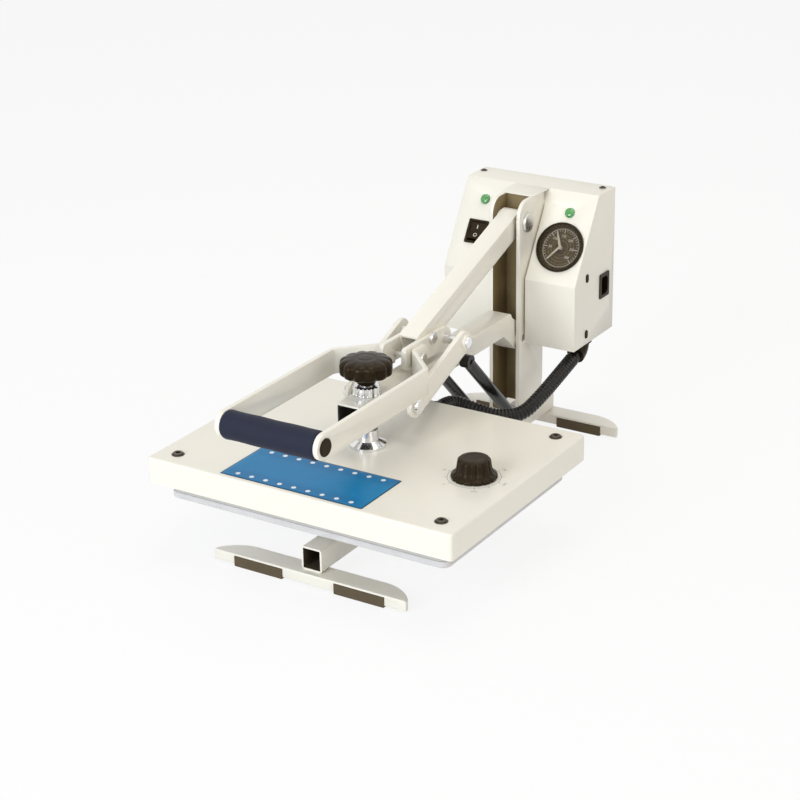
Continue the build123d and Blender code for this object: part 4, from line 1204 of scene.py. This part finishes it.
class PRESS_OT_studio(bpy.types.Operator):
    """Pale floor, soft lamps, white surroundings and the camera"""

    bl_idname = "press.studio"
    bl_label = "Studio"

    def execute(self, context):
        chosen = settings("press_studio")
        scene = context.scene
        self.make_floor()
        self.make_world(scene, chosen.ambient)
        for name, lamp in LAMPS.items():
            area_lamp(f"{name}_lamp", getattr(chosen, name), *lamp)
        camera = bpy.data.objects.new("camera", bpy.data.cameras.new("camera"))
        camera.data.lens, camera.data.sensor_width = chosen.lens, 36.0
        turn, rise, roll = (math.radians(v) for v in CAMERA_ANGLES)
        level = math.cos(rise)
        forward = Vector((-math.sin(turn) * level, math.cos(turn) * level, -math.sin(rise)))
        right = Vector((math.cos(turn), math.sin(turn), 0.0))
        up = right.cross(forward)
        right, up = (
            math.cos(roll) * right + math.sin(roll) * up,
            math.cos(roll) * up - math.sin(roll) * right,
        )
        basis = Matrix((right, up, -forward)).transposed().to_4x4()
        camera.matrix_world = Matrix.Translation(CAMERA_PLACE) @ basis
        scene.collection.objects.link(camera)
        scene.camera = camera
        scene.view_settings.view_transform = "Standard"
        return {"FINISHED"}

    def make_floor(self):
        floor = Finish("studio_floor", Roughness=0.9, Specular_IOR_Level=0.1)
        floor.tint(floor.noise(3.0), (1.0, 1.0, 1.0), 0.86, 0.88)
        glow = floor.node("ShaderNodeEmission", None, {"Color": (1, 1, 1, 1), "Strength": 1.0})
        seen = self.seen_by_eye(floor)
        blend = floor.tree.nodes.new("ShaderNodeMixShader")
        floor.tree.links.new((seen * FLOOR_GLOW).socket, blend.inputs[0])
        floor.tree.links.new(floor.shader.outputs[0], blend.inputs[1])
        floor.tree.links.new(glow.socket, blend.inputs[2])
        output = next(n for n in floor.tree.nodes if n.type == "OUTPUT_MATERIAL")
        floor.tree.links.new(blend.outputs[0], output.inputs[0])
        mesh = bpy.data.meshes.new("floor")
        corners = np.array([(-1, -1, 0), (1, -1, 0), (1, 1, 0), (-1, 1, 0)]) * FLOOR_REACH
        mesh.from_pydata(corners, [], [(0, 1, 2, 3)])
        show("floor", mesh, floor.material)

    @staticmethod
    def seen_by_eye(finish):
        """1 for rays from the camera and for those that metal and glass send on, else 0."""
        path = [
            finish.node("ShaderNodeLightPath", output=name)
            for name in ("Is Camera Ray", "Is Glossy Ray", "Is Transmission Ray")
        ]
        return (path[0] + path[1] + path[2]).clamped()

    def make_world(self, scene, ambient):
        world = bpy.data.worlds.new("white_surroundings")
        scene.world = world
        world.use_nodes = True
        holder = Finish.__new__(Finish)
        holder.tree = world.node_tree
        holder.tree.nodes.clear()
        seen = self.seen_by_eye(holder)
        strength = seen * (1.0 - ambient) + ambient
        background = holder.tree.nodes.new("ShaderNodeBackground")
        background.inputs["Color"].default_value = (1, 1, 1, 1)
        holder.tree.links.new(strength.socket, background.inputs["Strength"])
        output = holder.tree.nodes.new("ShaderNodeOutputWorld")
        holder.tree.links.new(background.outputs[0], output.inputs[0])


# Panel and running order

GROUPS = {
    "press_finishes": FinishSettings,
    "press_hose": HoseSettings,
    "press_knobs": KnobSettings,
    "press_label": LabelSettings,
    "press_studio": StudioSettings,
}
OPERATORS = (
    PRESS_OT_studio,
    PRESS_OT_hose,
    PRESS_OT_frame_finishes,
    PRESS_OT_grip,
    PRESS_OT_platen_layers,
    PRESS_OT_pressure_knob,
    PRESS_OT_spindle,
    PRESS_OT_thermostat_knob,
    PRESS_OT_dial_ring,
    PRESS_OT_label,
    PRESS_OT_fasteners,
    PRESS_OT_link_bolts,
    PRESS_OT_gauge_marks,
    PRESS_OT_lamps,
    PRESS_OT_switch_marks,
    PRESS_OT_rounded_edges,
)


class VIEW3D_PT_heat_press(bpy.types.Panel):
    """Settings and steps of the heat press"""

    bl_label = "Heat Press"
    bl_idname = "VIEW3D_PT_heat_press"
    bl_space_type = "VIEW_3D"
    bl_region_type = "UI"
    bl_category = "Heat Press"

    def draw(self, context):
        for name, group in GROUPS.items():
            box = self.layout.box()
            for key in group.__annotations__:
                box.prop(getattr(context.scene, name), key)
        for step in OPERATORS:
            self.layout.operator(step.bl_idname)


def register():
    for name, group in GROUPS.items():
        bpy.utils.register_class(group)
        setattr(bpy.types.Scene, name, PointerProperty(type=group))
    for step in OPERATORS:
        bpy.utils.register_class(step)
    bpy.utils.register_class(VIEW3D_PT_heat_press)


def unregister():
    bpy.utils.unregister_class(VIEW3D_PT_heat_press)
    for step in reversed(OPERATORS):
        bpy.utils.unregister_class(step)
    for name, group in GROUPS.items():
        delattr(bpy.types.Scene, name)
        bpy.utils.unregister_class(group)


def main():
    register()
    for step in OPERATORS:
        area, name = step.bl_idname.split(".")
        if getattr(getattr(bpy.ops, area), name)() != {"FINISHED"}:
            raise RuntimeError(f"{step.bl_label} did not finish")


if __name__ == "__main__":
    main()
